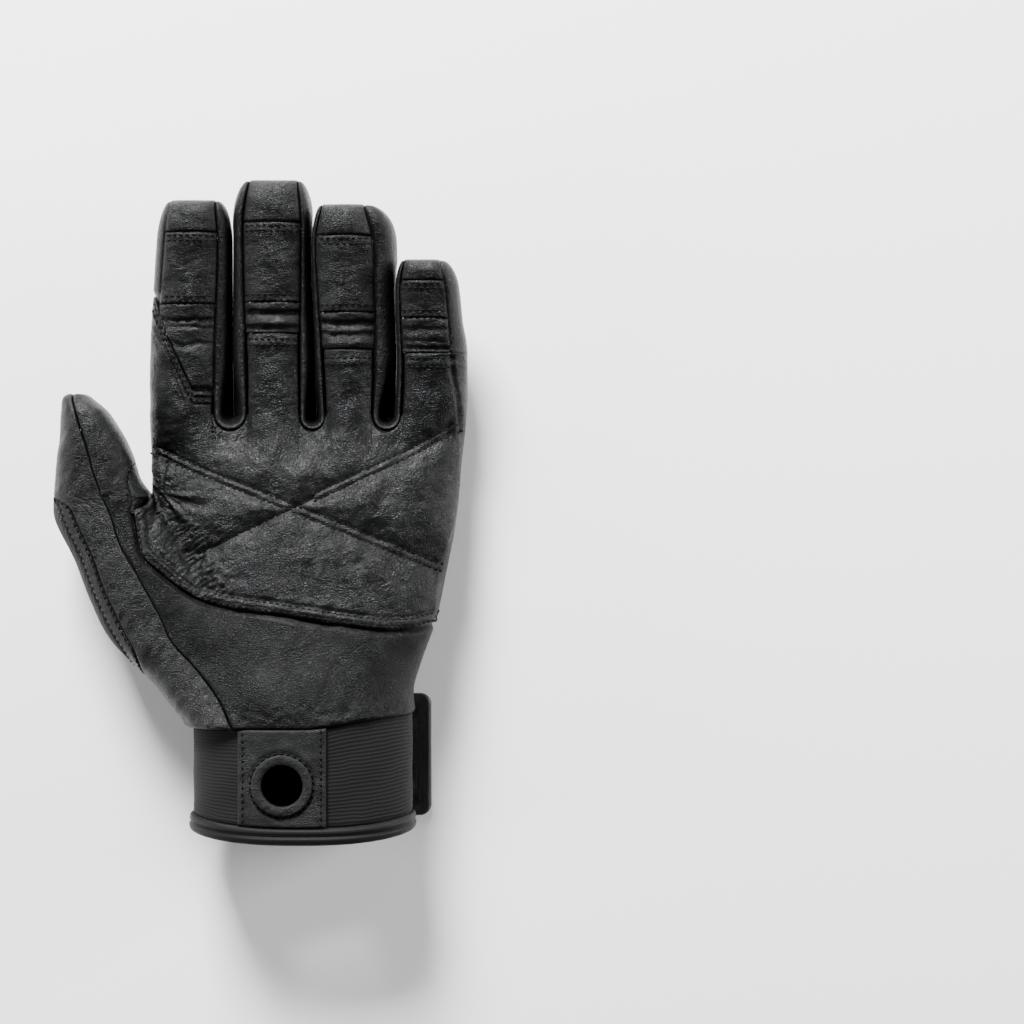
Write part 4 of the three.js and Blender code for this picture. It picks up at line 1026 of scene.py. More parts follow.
def stitch_points(line, pitch, length, thickness, lift):
    """Thread capsules along a line, one each pitch: each is a row of rings whose radius follows a
    half ellipse and whose ends dive into the leather. Returns points by stitch, ring and side."""
    points, normals = line
    reach = reach_along(points)
    count = int(max((reach[-1] - length) // pitch, 0)) + 1
    spare = reach[-1] - (count - 1) * pitch
    centres = spare / 2 + pitch * np.arange(count)
    q = np.cos(np.linspace(np.pi, 0, STITCH_RINGS))
    s = centres[:, None] + q[None] * length / 2

    def at(values, places):
        return np.stack([np.interp(places, reach, values[:, k]) for k in range(3)], axis=-1)

    middle = at(points, s)
    up = at(normals, s)
    up /= np.linalg.norm(up, axis=-1, keepdims=True)
    ahead = at(points, s + 0.2) - at(points, s - 0.2)
    ahead /= np.maximum(np.linalg.norm(ahead, axis=-1, keepdims=True), 1e-9)
    across = np.cross(up, ahead)
    radius = thickness / 2 * np.sqrt(np.maximum(1 - (0.97 * q) ** 2, 0.02))
    dive = lift - 0.7 * thickness * np.abs(q) ** 3
    turn = 2 * np.pi * np.arange(STITCH_SIDES) / STITCH_SIDES
    out = radius[None, :, None, None] * (
        across[:, :, None] * np.cos(turn)[None, None, :, None]
        + up[:, :, None] * np.sin(turn)[None, None, :, None]
    )
    return middle[:, :, None] + up[:, :, None] * dive[None, :, None, None] + out


def stitches(name, lines):
    """One piece with the stitches of several lines."""
    s = sizes()
    made = [
        stitch_points(line, s.stitch_pitch / MM, s.stitch_length / MM, s.thread / MM, STITCH_LIFT)
        for line in lines
    ]
    points = np.concatenate(made)
    each = STITCH_RINGS * STITCH_SIDES
    start = each * np.arange(len(points))[:, None, None]
    ring = STITCH_SIDES * np.arange(STITCH_RINGS - 1)[:, None]
    side = np.arange(STITCH_SIDES)[None]
    after = (side + 1) % STITCH_SIDES
    above = ring + STITCH_SIDES
    quads = np.stack([ring + side, ring + after, above + after, above + side], axis=-1).reshape(-1, 4)
    ends = np.concatenate([side[:, ::-1], each - STITCH_SIDES + side])
    faces = (start + quads).reshape(-1, 4).tolist() + (start + ends).reshape(-1, STITCH_SIDES).tolist()
    own(new_object(name, points * MM, faces), thread_material())


# Pieces


def rows_between(start, end, step):
    """Evenly spaced places from start to end, about a step apart."""
    return np.linspace(start, end, max(int(np.ceil(abs(end - start) / step)), 1) + 1)


def free_rows(start, step):
    """Rows up the free thumb, closer together towards its tip."""
    count = int(np.ceil(1.2 * THUMB_LENGTH / step))
    turn = np.linspace(0, np.pi / 2, count + 1)
    return mix(start, THUMB_TIP_Y - TIP_SLIT, np.sin(turn))


def closed_tip(block):
    """The thumb's rows and one more, which draws the end together over its tip."""
    y = block[-1, 0, 1]
    middle = np.array([(THUMB.left(y) + THUMB.right(y)) / 2, y + 0.25, THUMB.mid(y)])
    return np.concatenate([block, middle + 0.03 * (block[-1:] - middle)])


def surface_lengths(block):
    """Lengths over a grid, across its columns and along its rows, as its UV."""
    across = np.linalg.norm(np.diff(block, axis=1), axis=2)
    along = np.linalg.norm(np.diff(block, axis=0), axis=2).mean(axis=1)
    u = np.concatenate([np.zeros((len(block), 1)), np.cumsum(across, axis=1)], axis=1)
    v = np.concatenate([[0], np.cumsum(along)])
    return np.stack([u, np.broadcast_to(v[:, None], u.shape)], axis=-1)


def ulnar_wrap(y, step):
    """Columns that turn over the little finger's side, from its outline to the back seam."""
    count = int(np.ceil(BACK_SEAM * 1.8 / step))
    distance = around(np.zeros(len(y)), -BACK_SEAM + 2 * INSET, PALM_DEPTH / 2, count)
    return rim_points(outer_right, -1, y[:, None], distance[:, 1:])


def patch_blocks(step):
    """The palm patch: from its curved seam up to the finger roots, then a lobe on each finger."""
    left = outer_left(ROOT_Y)
    right = outer_right(ROOT_Y)
    places, lobes, dips = root_columns(left, right, step)
    share = (places - left) / (right - left)
    s = np.linspace(0, 1, len(places))
    seam_x, seam_y = patch_seam(s)
    t = rows_between(0, 1, step / PATCH_SPAN)[:, None]
    y = mix(seam_y + INSET, ROOT_Y - dips, t)
    straight = mix(outer_left(y), outer_right(y), share)
    x = mix(seam_x + INSET * (1 - s), straight, smoothstep(seam_y, CROTCH_END, y))
    body = np.concatenate([points_at(x, y, 1), ulnar_wrap(y[:, -1], step)], axis=1)
    blocks = [body]
    for i, finger in enumerate(HAND):
        xs = places[lobes == i]
        top = wing_edge(xs) if i == 0 else np.full(len(xs), finger.patch_y)
        t = rows_between(0, 1, step / (finger.patch_y - ROOT_Y + 8))[:, None]
        y = mix(ROOT_Y, top - INSET, t)
        share = (xs - lobe_left(i, ROOT_Y)) / (lobe_right(i, ROOT_Y) - lobe_left(i, ROOT_Y))
        x = mix(lobe_left(i, y), lobe_right(i, y), share)
        block = points_at(x, y, 1)
        if i == 3:
            block = np.concatenate([block, ulnar_wrap(y[:, -1], step)], axis=1)
        blocks.append(block)
    return blocks


def lobe_left(i, y):
    return outer_left(y) if i == 0 else HAND[i].left(y) + INSET


def lobe_right(i, y):
    return outer_right(y) if i == 3 else HAND[i].right(y) - INSET


PATCH_LAP = 0.9


def heel_blocks(step):
    """Heel of the hand: from the thumb seam and the wrist edge up to the palm patch's seam."""
    along_thumb = rows_between(NOTCH_Y + 0.6, WRIST_Y, step)
    corner = thumb_seam_x(WRIST_Y) + INSET
    end = outer_right(WRIST_Y + WRIST_RISE)
    share = np.linspace(0, 1, int(len(along_thumb) * 0.9))[1:]
    wrist_x = mix(corner, end, np.sin(np.pi / 2 * share))
    x = np.concatenate([thumb_seam_x(along_thumb) + INSET, wrist_x])
    y = np.concatenate([along_thumb, wrist_edge(wrist_x)])
    first = len(x) // 18
    start = (THUMB.right(NOTCH_Y) - web_over(NOTCH_Y) - INSET, NOTCH_Y + 0.6)
    turn = np.linspace(0, 1, first + 1)[:-1]
    seam_x, seam_y = patch_seam(np.sin(np.linspace(0, np.pi / 2, len(x) - first)))
    to_x = np.concatenate([mix(start[0], seam_x[0], turn), seam_x])
    to_y = np.concatenate([mix(start[1], seam_y[0], turn), seam_y + PATCH_LAP])
    v = rows_between(0, 1, step / HEEL_SPAN)[None]
    here_x = mix(x[:, None], to_x[:, None], v)
    here_y = mix(y[:, None], to_y[:, None], v)
    first_x = here_x[:1]
    reach = (outer_right(here_y[-1:]) - first_x) / (here_x[-1:] - first_x)
    here_x = first_x + (here_x - first_x) * reach
    block = points_at(here_x, here_y, 1)
    wrap = ulnar_wrap(here_y[-1], step).transpose(1, 0, 2)
    return [flip(np.concatenate([block, wrap]))]


def outer_start(y):
    """Where the thumb's outer panel begins: past the woven back's edge and the strip."""
    strip = strip_width(y)
    return turn_limit(y, back_over(y)) + strip + SEAM_GAP * smoothstep(0, 1, strip)


def thumb_outer_blocks(step):
    lower = rows_between(WRIST_Y, NOTCH_Y, step)
    y = np.concatenate([lower[:-1], free_rows(NOTCH_Y, step)])
    end = thumb_seam_x(y) - INSET - THUMB.left(y)
    count = int(OUTER_SPAN / step)
    return [closed_tip(rim_block(THUMB.left, 1, y, outer_start(y) + INSET, end, half_thumb(y), count))]


def strip_blocks(step):
    y = rows_between(STRIP_LOW, STRIP_HIGH, step)
    start = turn_limit(y, back_over(y)) + INSET
    end = start + np.maximum(strip_width(y) - INSET, 0.02)
    return [rim_block(THUMB.left, 1, y, start, end, half_thumb(y), int(RIM_SPAN / step))]


def thumb_front_blocks(step):
    y = free_rows(NOTCH_Y + INSET, step)
    start = THUMB.right(y) - thumb_seam_x(y) - INSET
    count = int(FRONT_SPAN / step)
    return [closed_tip(rim_block(THUMB.right, -1, y, start, web_over(y) + INSET, half_thumb(y), count))]


def thumb_back_blocks(step):
    y = free_rows(NOTCH_Y + INSET, step)
    left = turn_limit(y, back_over(y)) - INSET
    right = THUMB.right(y) + turn_limit(y, -BACK_SEAM) - INSET
    rim = rim_block(THUMB.left, 1, y, left, -half_thumb(y), half_thumb(y), 14)
    centre = THUMB.left(y) + half_thumb(y)
    x = mix(centre[:, None], right[:, None], np.linspace(0, 1, 12)[None, 1:])
    return [flip(closed_tip(np.concatenate([rim, points_at(x, y[:, None], -1)], axis=1)))]


def web_blocks(step):
    """Side panel: down the thumb's inner side, round the crotch and up the hand to the wing."""
    count = int(SIDE_SPAN / step)
    y = rows_between(WEB_TOP_Y, NOTCH_Y + INSET, step)
    start = np.full(len(y), -BACK_SEAM + INSET)
    end = np.maximum(web_over(y) - INSET, start + 0.02)
    down = rim_block(THUMB.right, -1, y, start, end, half_thumb(y), count)
    wing_y = CROTCH_Y + WING_TOP * INDEX.length - INSET
    y = rows_between(NOTCH_Y, wing_y, step)
    seam = back_left(y) - outer_left(y) - INSET
    up = rim_block(outer_left, 1, y, -seam, -0.01, PALM_DEPTH / 2, count)
    a = down[-1]
    b = up[0]
    seam_x, seam_y = patch_seam(0)
    low = (seam_x + SEAM_GAP, seam_y + 2 * SEAM_GAP)
    turn_y = mix(seam_y, NOTCH_Y, 0.45)
    stops = np.array([
        a[-1, :2],
        mix(a[-1, :2], np.array(low), 0.6),
        low,
        (patch_edge(turn_y) - 1.5 * SEAM_GAP, turn_y + 1.5 * SEAM_GAP),
        b[-1, :2],
    ])
    shares = np.linspace(0, 1, len(stops))
    t = rows_between(0, 1, step / WEB_SPAN)[1:-1, None]
    edge = points_at(follow(shares, stops[:, 0])(t[:, 0]), follow(shares, stops[:, 1])(t[:, 0]), 1)
    c = np.linspace(0, 1, count + 1)[None]
    x = mix(a[None, :, 0], b[None, :, 0], t)
    y = mix(a[None, :, 1], b[None, :, 1], t) - 0.05 * THUMB_LENGTH * np.sin(np.pi * t) * c
    z = mix(a[None, :, 2], b[None, :, 2], t)
    back = surface(x[:, :1], y[:, :1], -1)
    z = z + (back - z[:, :1]) * (1 - c) ** 4
    base = np.stack([x, y, z], axis=-1)
    pull = np.clip((c - 0.7) / 0.3, 0, 1)[..., None] ** 1.5
    turned = base + (edge[:, None] - base[:, -1:]) * pull
    return [np.concatenate([down, turned, up])]


def back_blocks(step):
    """Back of the hand: the woven cloth, from the thumb's outer edge to the finger roots."""
    left = back_left(ROOT_Y) + INSET
    right = back_right(ROOT_Y) - INSET
    places, _, dips = root_columns(left, right, step)
    apart = np.concatenate([[True], np.diff(places) > 1e-6])
    places, dips = places[apart], dips[apart]
    share = (places - left) / (right - left)
    y = rows_between(WRIST_Y, NOTCH_Y - INSET, step)
    top_y = y[-1]
    fold_x = mix(CUFF_SHIFT - 0.18 * CUFF_WIDTH, back_left(NOTCH_Y) + INSET,
                 smoothstep(WRIST_Y, NOTCH_Y, y))
    rim = rim_block(THUMB.left, 1, y, back_over(y) - INSET, -half_thumb(y), half_thumb(y),
                    int(BACK_RIM_SPAN / step))
    centre = THUMB.left(y) + half_thumb(y)
    under_x = mix(centre[:, None], fold_x[:, None], np.linspace(0, 1, int(UNDER_SPAN / step))[None, 1:])
    under = points_at(under_x, y[:, None], -1)
    rest_x = mix(fold_x[:, None], (back_right(y) - INSET)[:, None], share[None, 1:])
    along = ((y - WRIST_Y) / (top_y - WRIST_Y))[:, None]
    rest = points_at(rest_x, mix(wrist_edge(rest_x), top_y, along), -1)
    lower = np.concatenate([rim, under, rest], axis=1)
    t = rows_between(0, 1, step / (ROOT_Y - top_y))[:, None]
    y = mix(top_y, ROOT_Y - INSET - dips, t)
    x = mix(back_left(y) + INSET, back_right(y) - INSET, share)
    upper = points_at(x, y, -1)
    upper[0] = lower[-1, -len(places):]
    return [flip(lower), flip(upper)]


def finger_rows(finger, y, side, step):
    """Rows of points across one finger's face between its seams."""
    y = y[:, None]
    s = np.linspace(0, 1, int(FINGER_SPAN / step) + 1)[None]
    x = mix(finger.left(y) - LAP, finger.right(y) + LAP, s)
    y = np.broadcast_to(y, x.shape)
    return np.stack([x, y, finger_height(finger, x, y, side)], axis=-1)


def cap_height(finger, turn):
    """Height along Y of a place on the curve over a finger's end, by its turn from the seam."""
    return finger.cap_y + (finger.top - finger.cap_y) * np.sin(turn) ** (2 / TIP_SQUARE)


def tip_blocks(finger, step):
    """A finger end: over the top from the palm side's cap seam to the back's."""
    turn = np.linspace(CAP_TURN, np.pi - CAP_TURN, int(TIP_SPAN / step))
    y = cap_height(finger, turn)
    front = finger_rows(finger, y, 1, step)
    back = finger_rows(finger, y, -1, step)
    return [np.where(np.cos(turn)[:, None, None] > 0, front, back)]


def pad_blocks(finger, step):
    y = rows_between(finger.pad_y + INSET, cap_height(finger, CAP_TURN) - SEAM_GAP, step)
    return [finger_rows(finger, y, 1, step)]


WING_UNDER = 1.6


def crease_blocks(finger, step):
    """Joint leather between the pad and the palm patch; on the index finger it goes under the
    wing."""
    s = np.linspace(0, 1, int(FINGER_SPAN / step) + 1)
    low_x = mix(finger.left(finger.patch_y) - LAP, finger.right(finger.patch_y) + LAP, s)
    low = wing_edge(low_x) - WING_UNDER if finger is INDEX else np.full(len(s), finger.patch_y + INSET)
    t = rows_between(0, 1, step / (finger.pad_y - low.min()))[:, None]
    y = mix(low, finger.pad_y - INSET, t)
    x = mix(finger.left(y) - LAP, finger.right(y) + LAP, s)
    return [np.stack([x, y, finger_height(finger, x, y, 1)], axis=-1)]


def wing_sink(x, y):
    """On the index finger the leather goes under the wing."""
    return 1.5 * (1 - smoothstep(0, 2.4, y - wing_edge(x))) * (x < INDEX.right(y))


def joint_edge_drop(x, y):
    """Pads and joint leather: seams at their sides, and hardly any where they meet."""
    drop = np.full(np.shape(x), 0.45)
    for finger in HAND:
        here = (x > finger.left(y) - 1) & (x < finger.right(y) + 1) & (np.abs(y - finger.pad_y) < 1.6)
        drop = np.where(here, 0.25, drop)
    return drop


def finger_back_blocks(finger, step):
    left = back_left if finger is INDEX else finger.left
    right = back_right if finger is LITTLE else finger.right
    y = rows_between(ROOT_Y + INSET, cap_height(finger, CAP_TURN) - SEAM_GAP, step)
    x = mix((left(y) + INSET)[:, None], (right(y) - INSET)[:, None], np.linspace(0, 1, 16)[None])
    return [flip(points_at(x, y[:, None], -1))]


def side_sink(x, y):
    """The index finger's side goes under the wing and the side panel below it."""
    top = CROTCH_Y + WING_TOP * INDEX.length
    return 1.1 * (1 - smoothstep(top - 0.6, top + 2.0, y))


def side_edge_drop(x, y):
    """The little finger's side and the palm patch are one leather: no edge where they meet."""
    return 0.6 * smoothstep(1.2, 2.4, np.abs(y - LITTLE.patch_y))


def tip_rows(finger, step):
    """Rows over a finger's end, closer together towards the top."""
    turn = np.linspace(0, np.pi / 2, int(14 / step) + 1)[1:]
    return mix(finger.cap_y, finger.top - TIP_SLIT, np.sin(turn))


TOUCH = 0.3
CLOSE = 0.05
BEAD = 0.55


def strip_line(x, y, way_x, way_y, lift, full, turn):
    """Rows over a side strip: half ovals from back to front that bulge along their way, by lift in
    front and by full further down, where the strips of two fingers touch."""
    rows = np.broadcast_arrays(x, y, way_x, way_y, lift, full, surface(x, y, 1), surface(x, y, -1))
    x, y, way_x, way_y, lift, full, front, back = (row[:, None] for row in rows)
    deep = smoothstep(0.66 * np.pi, 0.36 * np.pi, turn)[None]
    out = mix(lift, np.maximum(lift, full), deep) * np.sin(turn)[None] ** 0.6
    z = (front + back) / 2 - (front - back) / 2 * np.cos(turn)[None]
    return np.stack([x + way_x * out, y + way_y * out, z], axis=-1)


def fourchette_blocks(gap, step):
    """Strip between two fingers: down one, round the arc and up the other, bulging into the gap."""
    turn = np.linspace(0, np.pi, int(GAP_SPAN / step))

    def strip(finger, y, seam, way, share):
        width = share * (gap.b.left(y) - gap.a.right(y)) - INSET
        grow = smoothstep(gap.root_y, gap.root_y + 0.25 * MIDDLE.length, y)
        bulge = mix(BEAD * gap.radius, width - TOUCH, grow) * tip_round(finger, y)
        closed = (width + CLOSE) * tip_round(finger, y)
        return strip_line(seam(y) + way * INSET, y, way, 0.0, bulge, closed, turn)

    def stations(finger):
        rows = rows_between(gap.root_y, finger.cap_y, step)
        return np.concatenate([rows, tip_rows(finger, step)])

    down = strip(gap.a, stations(gap.a)[::-1], gap.a.right, 1.0, gap.a.split)
    up = strip(gap.b, stations(gap.b), gap.b.left, -1.0, 1 - gap.a.split)
    angle = rows_between(0, np.pi, step / gap.radius / 1.3)[1:-1]
    reach = gap.radius - INSET
    arc = strip_line(gap.centre - reach * np.cos(angle), gap.root_y - reach * np.sin(angle),
                     np.cos(angle), np.sin(angle), BEAD * gap.radius, reach - ARC_EASE, turn)
    return [np.concatenate([down, arc, up])]


def side_blocks(finger, outline, inwards, seam, back, low, step):
    """Outer side of the first or last finger, from its back seam to its front seam."""
    y = np.concatenate([rows_between(low, finger.cap_y, step), tip_rows(finger, step)])
    bend = np.maximum(2 * np.abs(seam(y) - outline(y)), 1)
    start = np.minimum(-np.abs(back(y) - outline(y)) + INSET, -0.05)
    end = np.maximum(np.abs(seam(y) - outline(y)) - INSET, 0.05)
    block = rim_block(outline, inwards, y, start, end, bend, int(SIDE_SPAN / step))
    return [block if inwards > 0 else flip(block)]


# The cuff


CUFF_MID = CUFF_DEPTH / 2 + HEM_PROUD + STRAP_THICKNESS + SEAM_GAP
CLIP_X = CUFF_SHIFT - 0.075 * CUFF_WIDTH
CLIP_Y = WRIST_Y - 0.48 * CUFF_HEIGHT
CLIP_HOLE = (CLIP_X, CLIP_Y, CLIP_HOLE_DIAMETER / 2)


def power(value, square):
    return np.sign(value) * np.abs(value) ** (2 / square)


def cuff_point(angle, y, grow):
    """The oval cuff: a superellipse, squarer on its back."""
    square = np.where(np.sin(angle) > 0, CUFF_SQUARE, BACK_CUFF_SQUARE)
    x = CUFF_SHIFT + (CUFF_WIDTH / 2 + grow) * power(np.cos(angle), square)
    z = CUFF_MID + (CUFF_DEPTH / 2 + grow) * power(np.sin(angle), square)
    x, y, z = np.broadcast_arrays(x, y, z)
    return np.stack([x, y, z], axis=-1)


def cuff_top(x, grow):
    u = np.clip((x - CUFF_SHIFT) / (CUFF_WIDTH / 2 + grow), -1, 1)
    return CUFF_MID + (CUFF_DEPTH / 2 + grow) * dome(u, CUFF_SQUARE)


def bottom_edge(angle):
    return WRIST_Y - CUFF_HEIGHT + CUFF_BOW - CUFF_BOW * np.abs(np.sin(angle)) ** 1.5


def bottom_edge_at(x):
    return bottom_edge(np.arccos(np.clip((x - CUFF_SHIFT) * 2 / CUFF_WIDTH, -1, 1)))


def full_turn(count):
    """Angles all the way round."""
    return np.linspace(0, 2 * np.pi, count)


def band_blocks(step):
    angle = full_turn(360)[None]
    share = rows_between(0, 1, step / CUFF_SPAN)[:, None]
    top = wrist_edge(cuff_point(angle, 0, 0)[..., 0]) - SEAM_GAP
    y = mix(bottom_edge(angle) + HEM_HEIGHT + SEAM_GAP, top, share)
    wave = 0.12 * np.sin(3 * angle + 1) + 0.08 * np.sin(7 * angle + 12 * share)
    return [flip(cuff_point(angle, y, wave - 0.12))]


def hem_blocks():
    """The bound hem: a rounded strip swept round the cuff, with a groove half way down."""
    angle = full_turn(420)[None]
    turn = full_turn(56)[:, None]
    s = 0.5 - 0.5 * power(np.cos(turn), HEM_SQUARE)
    out = 0.5 * power(np.sin(turn), HEM_SQUARE)
    groove = bell(s - HEM_GROOVE, 0.055) * (out > 0)
    puff = 0.16 * np.sin(np.pi * np.clip(s / HEM_GROOVE, 0, 1)) * (s < HEM_GROOVE) * (out > 0)
    grow = HEM_PROUD - HEM_THICKNESS / 2 + HEM_THICKNESS * out - 0.75 * groove + puff
    return [flip(cuff_point(angle, bottom_edge(angle) + s * HEM_HEIGHT, grow))]


def clip_tab_blocks(width, grow, step):
    s = rows_between(0, 1, step / width)[None]
    x = CLIP_X + (s - 0.5) * width
    low = bottom_edge_at(x) + HEM_HEIGHT + SEAM_GAP
    y = mix(low, wrist_edge(x) - SEAM_GAP, rows_between(0, 1, step / CUFF_SPAN)[:, None])
    x = np.broadcast_to(x, y.shape)
    return [np.stack([x, y, cuff_top(x, grow)], axis=-1)]


def clip_relief(x, y):
    """Soft dents in the tab, and a dip along the ring's stitches."""
    away = np.hypot(x - CLIP_X, y - CLIP_Y)
    return 0.12 * ripples(x, y, 7, 71) - 0.3 * bell(away - CLIP_ROW - 0.1, 0.7)


def ring_blocks(width, height, base):
    """The raised ring: an oval profile turned about the hole."""
    angle = full_turn(145)[None]
    turn = full_turn(29)[:, None]
    share = 0.5 - 0.5 * power(np.cos(turn), RING_SQUARE)
    radius = CLIP_HOLE_DIAMETER / 2 + SEAM_GAP / 2 + width * share
    x = CLIP_X + radius * np.cos(angle)
    y = CLIP_Y + radius * np.sin(angle)
    top = cuff_top(CLIP_X, base - SEAM_GAP) + height
    z = mix(cuff_top(x, base), top, 0.5 + 0.5 * power(np.sin(turn), RING_SQUARE))
    return [flip(np.stack([x, y, z], axis=-1))]


PLATE_BEVEL = 0.7
PLATE_RINGS = 11


def plate_blocks(left, right, low, high, left_corner, right_corner, thickness):
    """A flat strap end: rings of its rounded outline, drawn in to the middle of both faces."""
    quarter = np.linspace(0, np.pi / 2, 9)
    corners = (
        (right - right_corner, low + right_corner, right_corner, -np.pi / 2),
        (right - right_corner, high - right_corner, right_corner, 0),
        (left + left_corner, high - left_corner, left_corner, np.pi / 2),
        (left + left_corner, low + left_corner, left_corner, np.pi),
    )
    x = np.concatenate([cx + r * np.cos(turn + quarter) for cx, _, r, turn in corners])
    y = np.concatenate([cy + r * np.sin(turn + quarter) for _, cy, r, turn in corners])
    x = np.append(x, x[0])
    y = np.append(y, y[0])
    rim = np.linspace(0, np.pi, 13)
    inner = np.arange(PLATE_RINGS) / PLATE_RINGS
    ends = (PLATE_RINGS, PLATE_RINGS)
    shares = np.concatenate([inner, np.ones(len(rim)), inner[::-1]])
    inset = np.pad(PLATE_BEVEL * (1 - np.sin(rim)), ends, constant_values=PLATE_BEVEL)
    height = np.pad(thickness * (0.5 - 0.5 * np.cos(rim)), ends, constant_values=(0, thickness))
    mid_x = (left + right) / 2
    mid_y = (low + high) / 2
    reach_x = 1 - inset / ((right - left) / 2)
    reach_y = 1 - inset / ((high - low) / 2)
    px = mid_x + (x[None] - mid_x) * (shares * reach_x)[:, None]
    py = mid_y + (y[None] - mid_y) * (shares * reach_y)[:, None]
    pz = np.broadcast_to(height[:, None], px.shape)
    return [np.stack([px, py, pz], axis=-1)]


# Materials


def add(tree, kind, inputs=(), output=0, **properties):
    """A node with its properties, and its inputs by name or number: a socket is linked to, and
    anything else is set. Returns one of its outputs."""
    made = tree.nodes.new(kind)
    for name, value in properties.items():
        setattr(made, name, value)
    for name, value in dict(inputs).items():
        put(tree, made.inputs[name], value)
    return made.outputs[output]


def put(tree, target, value):
    """Links a socket to an input, or sets the input."""
    if isinstance(value, bpy.types.NodeSocket):
        tree.links.new(value, target)
    else:
        target.default_value = value


def figure(tree, operation, *values):
    """A Math node fed by sockets or numbers."""
    return add(tree, "ShaderNodeMath", enumerate(values), operation=operation)


def vector(tree, operation, inputs):
    """A Vector Math node."""
    return add(tree, "ShaderNodeVectorMath", inputs, operation=operation)


def ramp(tree, value, low, high, to_low=0.0, to_high=1.0):
    """A smooth step of a value from one range to another."""
    numbers = enumerate((value, low, high, to_low, to_high))
    return add(tree, "ShaderNodeMapRange", numbers, interpolation_type="SMOOTHSTEP")


def noise(tree, place, output="Fac", **values):
    """Noise at a place."""
    return add(tree, "ShaderNodeTexNoise", {"Vector": place, **values}, output)


def cells(tree, place, scale, randomness, edges=True):
    """A Voronoi pattern at a place: the distance to its cells' edges, or the cells' colours."""
    inputs = {"Vector": place, "Scale": scale, "Randomness": randomness}
    if edges:
        return add(tree, "ShaderNodeTexVoronoi", inputs, "Distance", feature="DISTANCE_TO_EDGE")
    return add(tree, "ShaderNodeTexVoronoi", inputs, "Color")


def pattern(name, numbers, outputs, build):
    """A shader node group by its name. The first time, build makes its nodes from the sockets of
    its place and numbers, and returns the sockets of its outputs."""
    if name in bpy.data.node_groups:
        return bpy.data.node_groups[name]
    tree = bpy.data.node_groups.new(name, "ShaderNodeTree")
    tree.interface.new_socket(name="Place", in_out="INPUT", socket_type="NodeSocketVector")
    for label, value in numbers.items():
        socket = tree.interface.new_socket(name=label, in_out="INPUT", socket_type="NodeSocketFloat")
        socket.default_value = value
    for label in outputs:
        tree.interface.new_socket(name=label, in_out="OUTPUT", socket_type="NodeSocketFloat")
    given = tree.nodes.new("NodeGroupInput")
    result = tree.nodes.new("NodeGroupOutput")
    made = build(tree, given.outputs["Place"], *[given.outputs[label] for label in numbers])
    for label, socket in zip(outputs, made):
        tree.links.new(socket, result.inputs[label])
    return tree


def build_grain(tree, place, scale, stretch):
    shift = vector(tree, "SCALE", {0: noise(tree, place, "Color", Scale=260, Detail=2), "Scale": 0.0016})
    bent = vector(tree, "ADD", {0: place, 1: shift})
    squeeze = add(tree, "ShaderNodeCombineXYZ", {"X": 1, "Y": stretch, "Z": 1})
    shaped = vector(tree, "MULTIPLY", {0: bent, 1: squeeze})
    pebble = ramp(tree, cells(tree, shaped, scale, 0.9), 0.0, 0.3)
    finer = figure(tree, "MULTIPLY", scale, 2.3)
    grit = ramp(tree, cells(tree, shaped, finer, 1), 0.0, 0.25)
    slow = noise(tree, place, Scale=55, Detail=4, Roughness=0.6)
    strength = ramp(tree, slow, 0.35, 0.65, 0.55, 1.0)
    mixed = figure(tree, "ADD", figure(tree, "MULTIPLY", pebble, 0.75), figure(tree, "MULTIPLY", grit, 0.25))
    apart = add(tree, "ShaderNodeSeparateColor", {0: cells(tree, shaped, scale, 0.9, edges=False)})
    chosen = ramp(tree, apart, 0.62, 0.9)
    return (figure(tree, "MULTIPLY", mixed, strength), figure(tree, "MULTIPLY", chosen, pebble),
            ramp(tree, slow, 0.3, 0.7))


def leather_grain():
    """Pebbled grain: rounded cells between cracks, finer cells on them, and slow unevenness."""
    numbers = {"Pebbles per metre": 1150, "Stretch": 1}
    return pattern("leather grain", numbers, ("Height", "Speck", "Tone"), build_grain)


def build_creases(tree, place, scale):
    squeeze = vector(tree, "MULTIPLY", {0: place, 1: (0.42, 1, 0.7)})
    waves = noise(tree, squeeze, Scale=scale, Detail=3, Roughness=0.55, Distortion=0.3)
    away = figure(tree, "ABSOLUTE", figure(tree, "SUBTRACT", waves, 0.5))
    return (ramp(tree, away, 0.0, 0.07),)


def fine_creases():
    """Fine creases that run across X: noise squeezed along Y, folded into narrow valleys."""
    return pattern("fine creases", {"Creases per metre": 420}, ("Height",), build_creases)


def wave(tree, value, pitch):
    """Cosine of a length over its pitch."""
    number = figure(tree, "DIVIDE", 2 * math.pi, pitch)
    return figure(tree, "COSINE", figure(tree, "MULTIPLY", value, number))


def along_axis(tree, place, axis):
    return add(tree, "ShaderNodeSeparateXYZ", {0: place}, axis)


def build_lattice(tree, place, pitch):
    x = along_axis(tree, place, "X")
    y = along_axis(tree, place, "Y")
    waves = [wave(tree, figure(tree, operation, x, y), pitch) for operation in ("ADD", "SUBTRACT")]
    both = figure(tree, "MULTIPLY", figure(tree, "ADD", *waves), 0.5)
    # Painted light and shade: the second output is 1 on the thread tops and 0 in the gaps between them.
    return ramp(tree, both, -0.6, 0.9), ramp(tree, both, 0.35, 0.85)


def lattice():
    """Woven lattice on UV: round thread tops at the crossings of a slanted grid, and a mask of painted light
    that is 1 on those tops.
    """
    return pattern("woven lattice", {"Pitch": 0.00085}, ("Height", "Dot"), build_lattice)


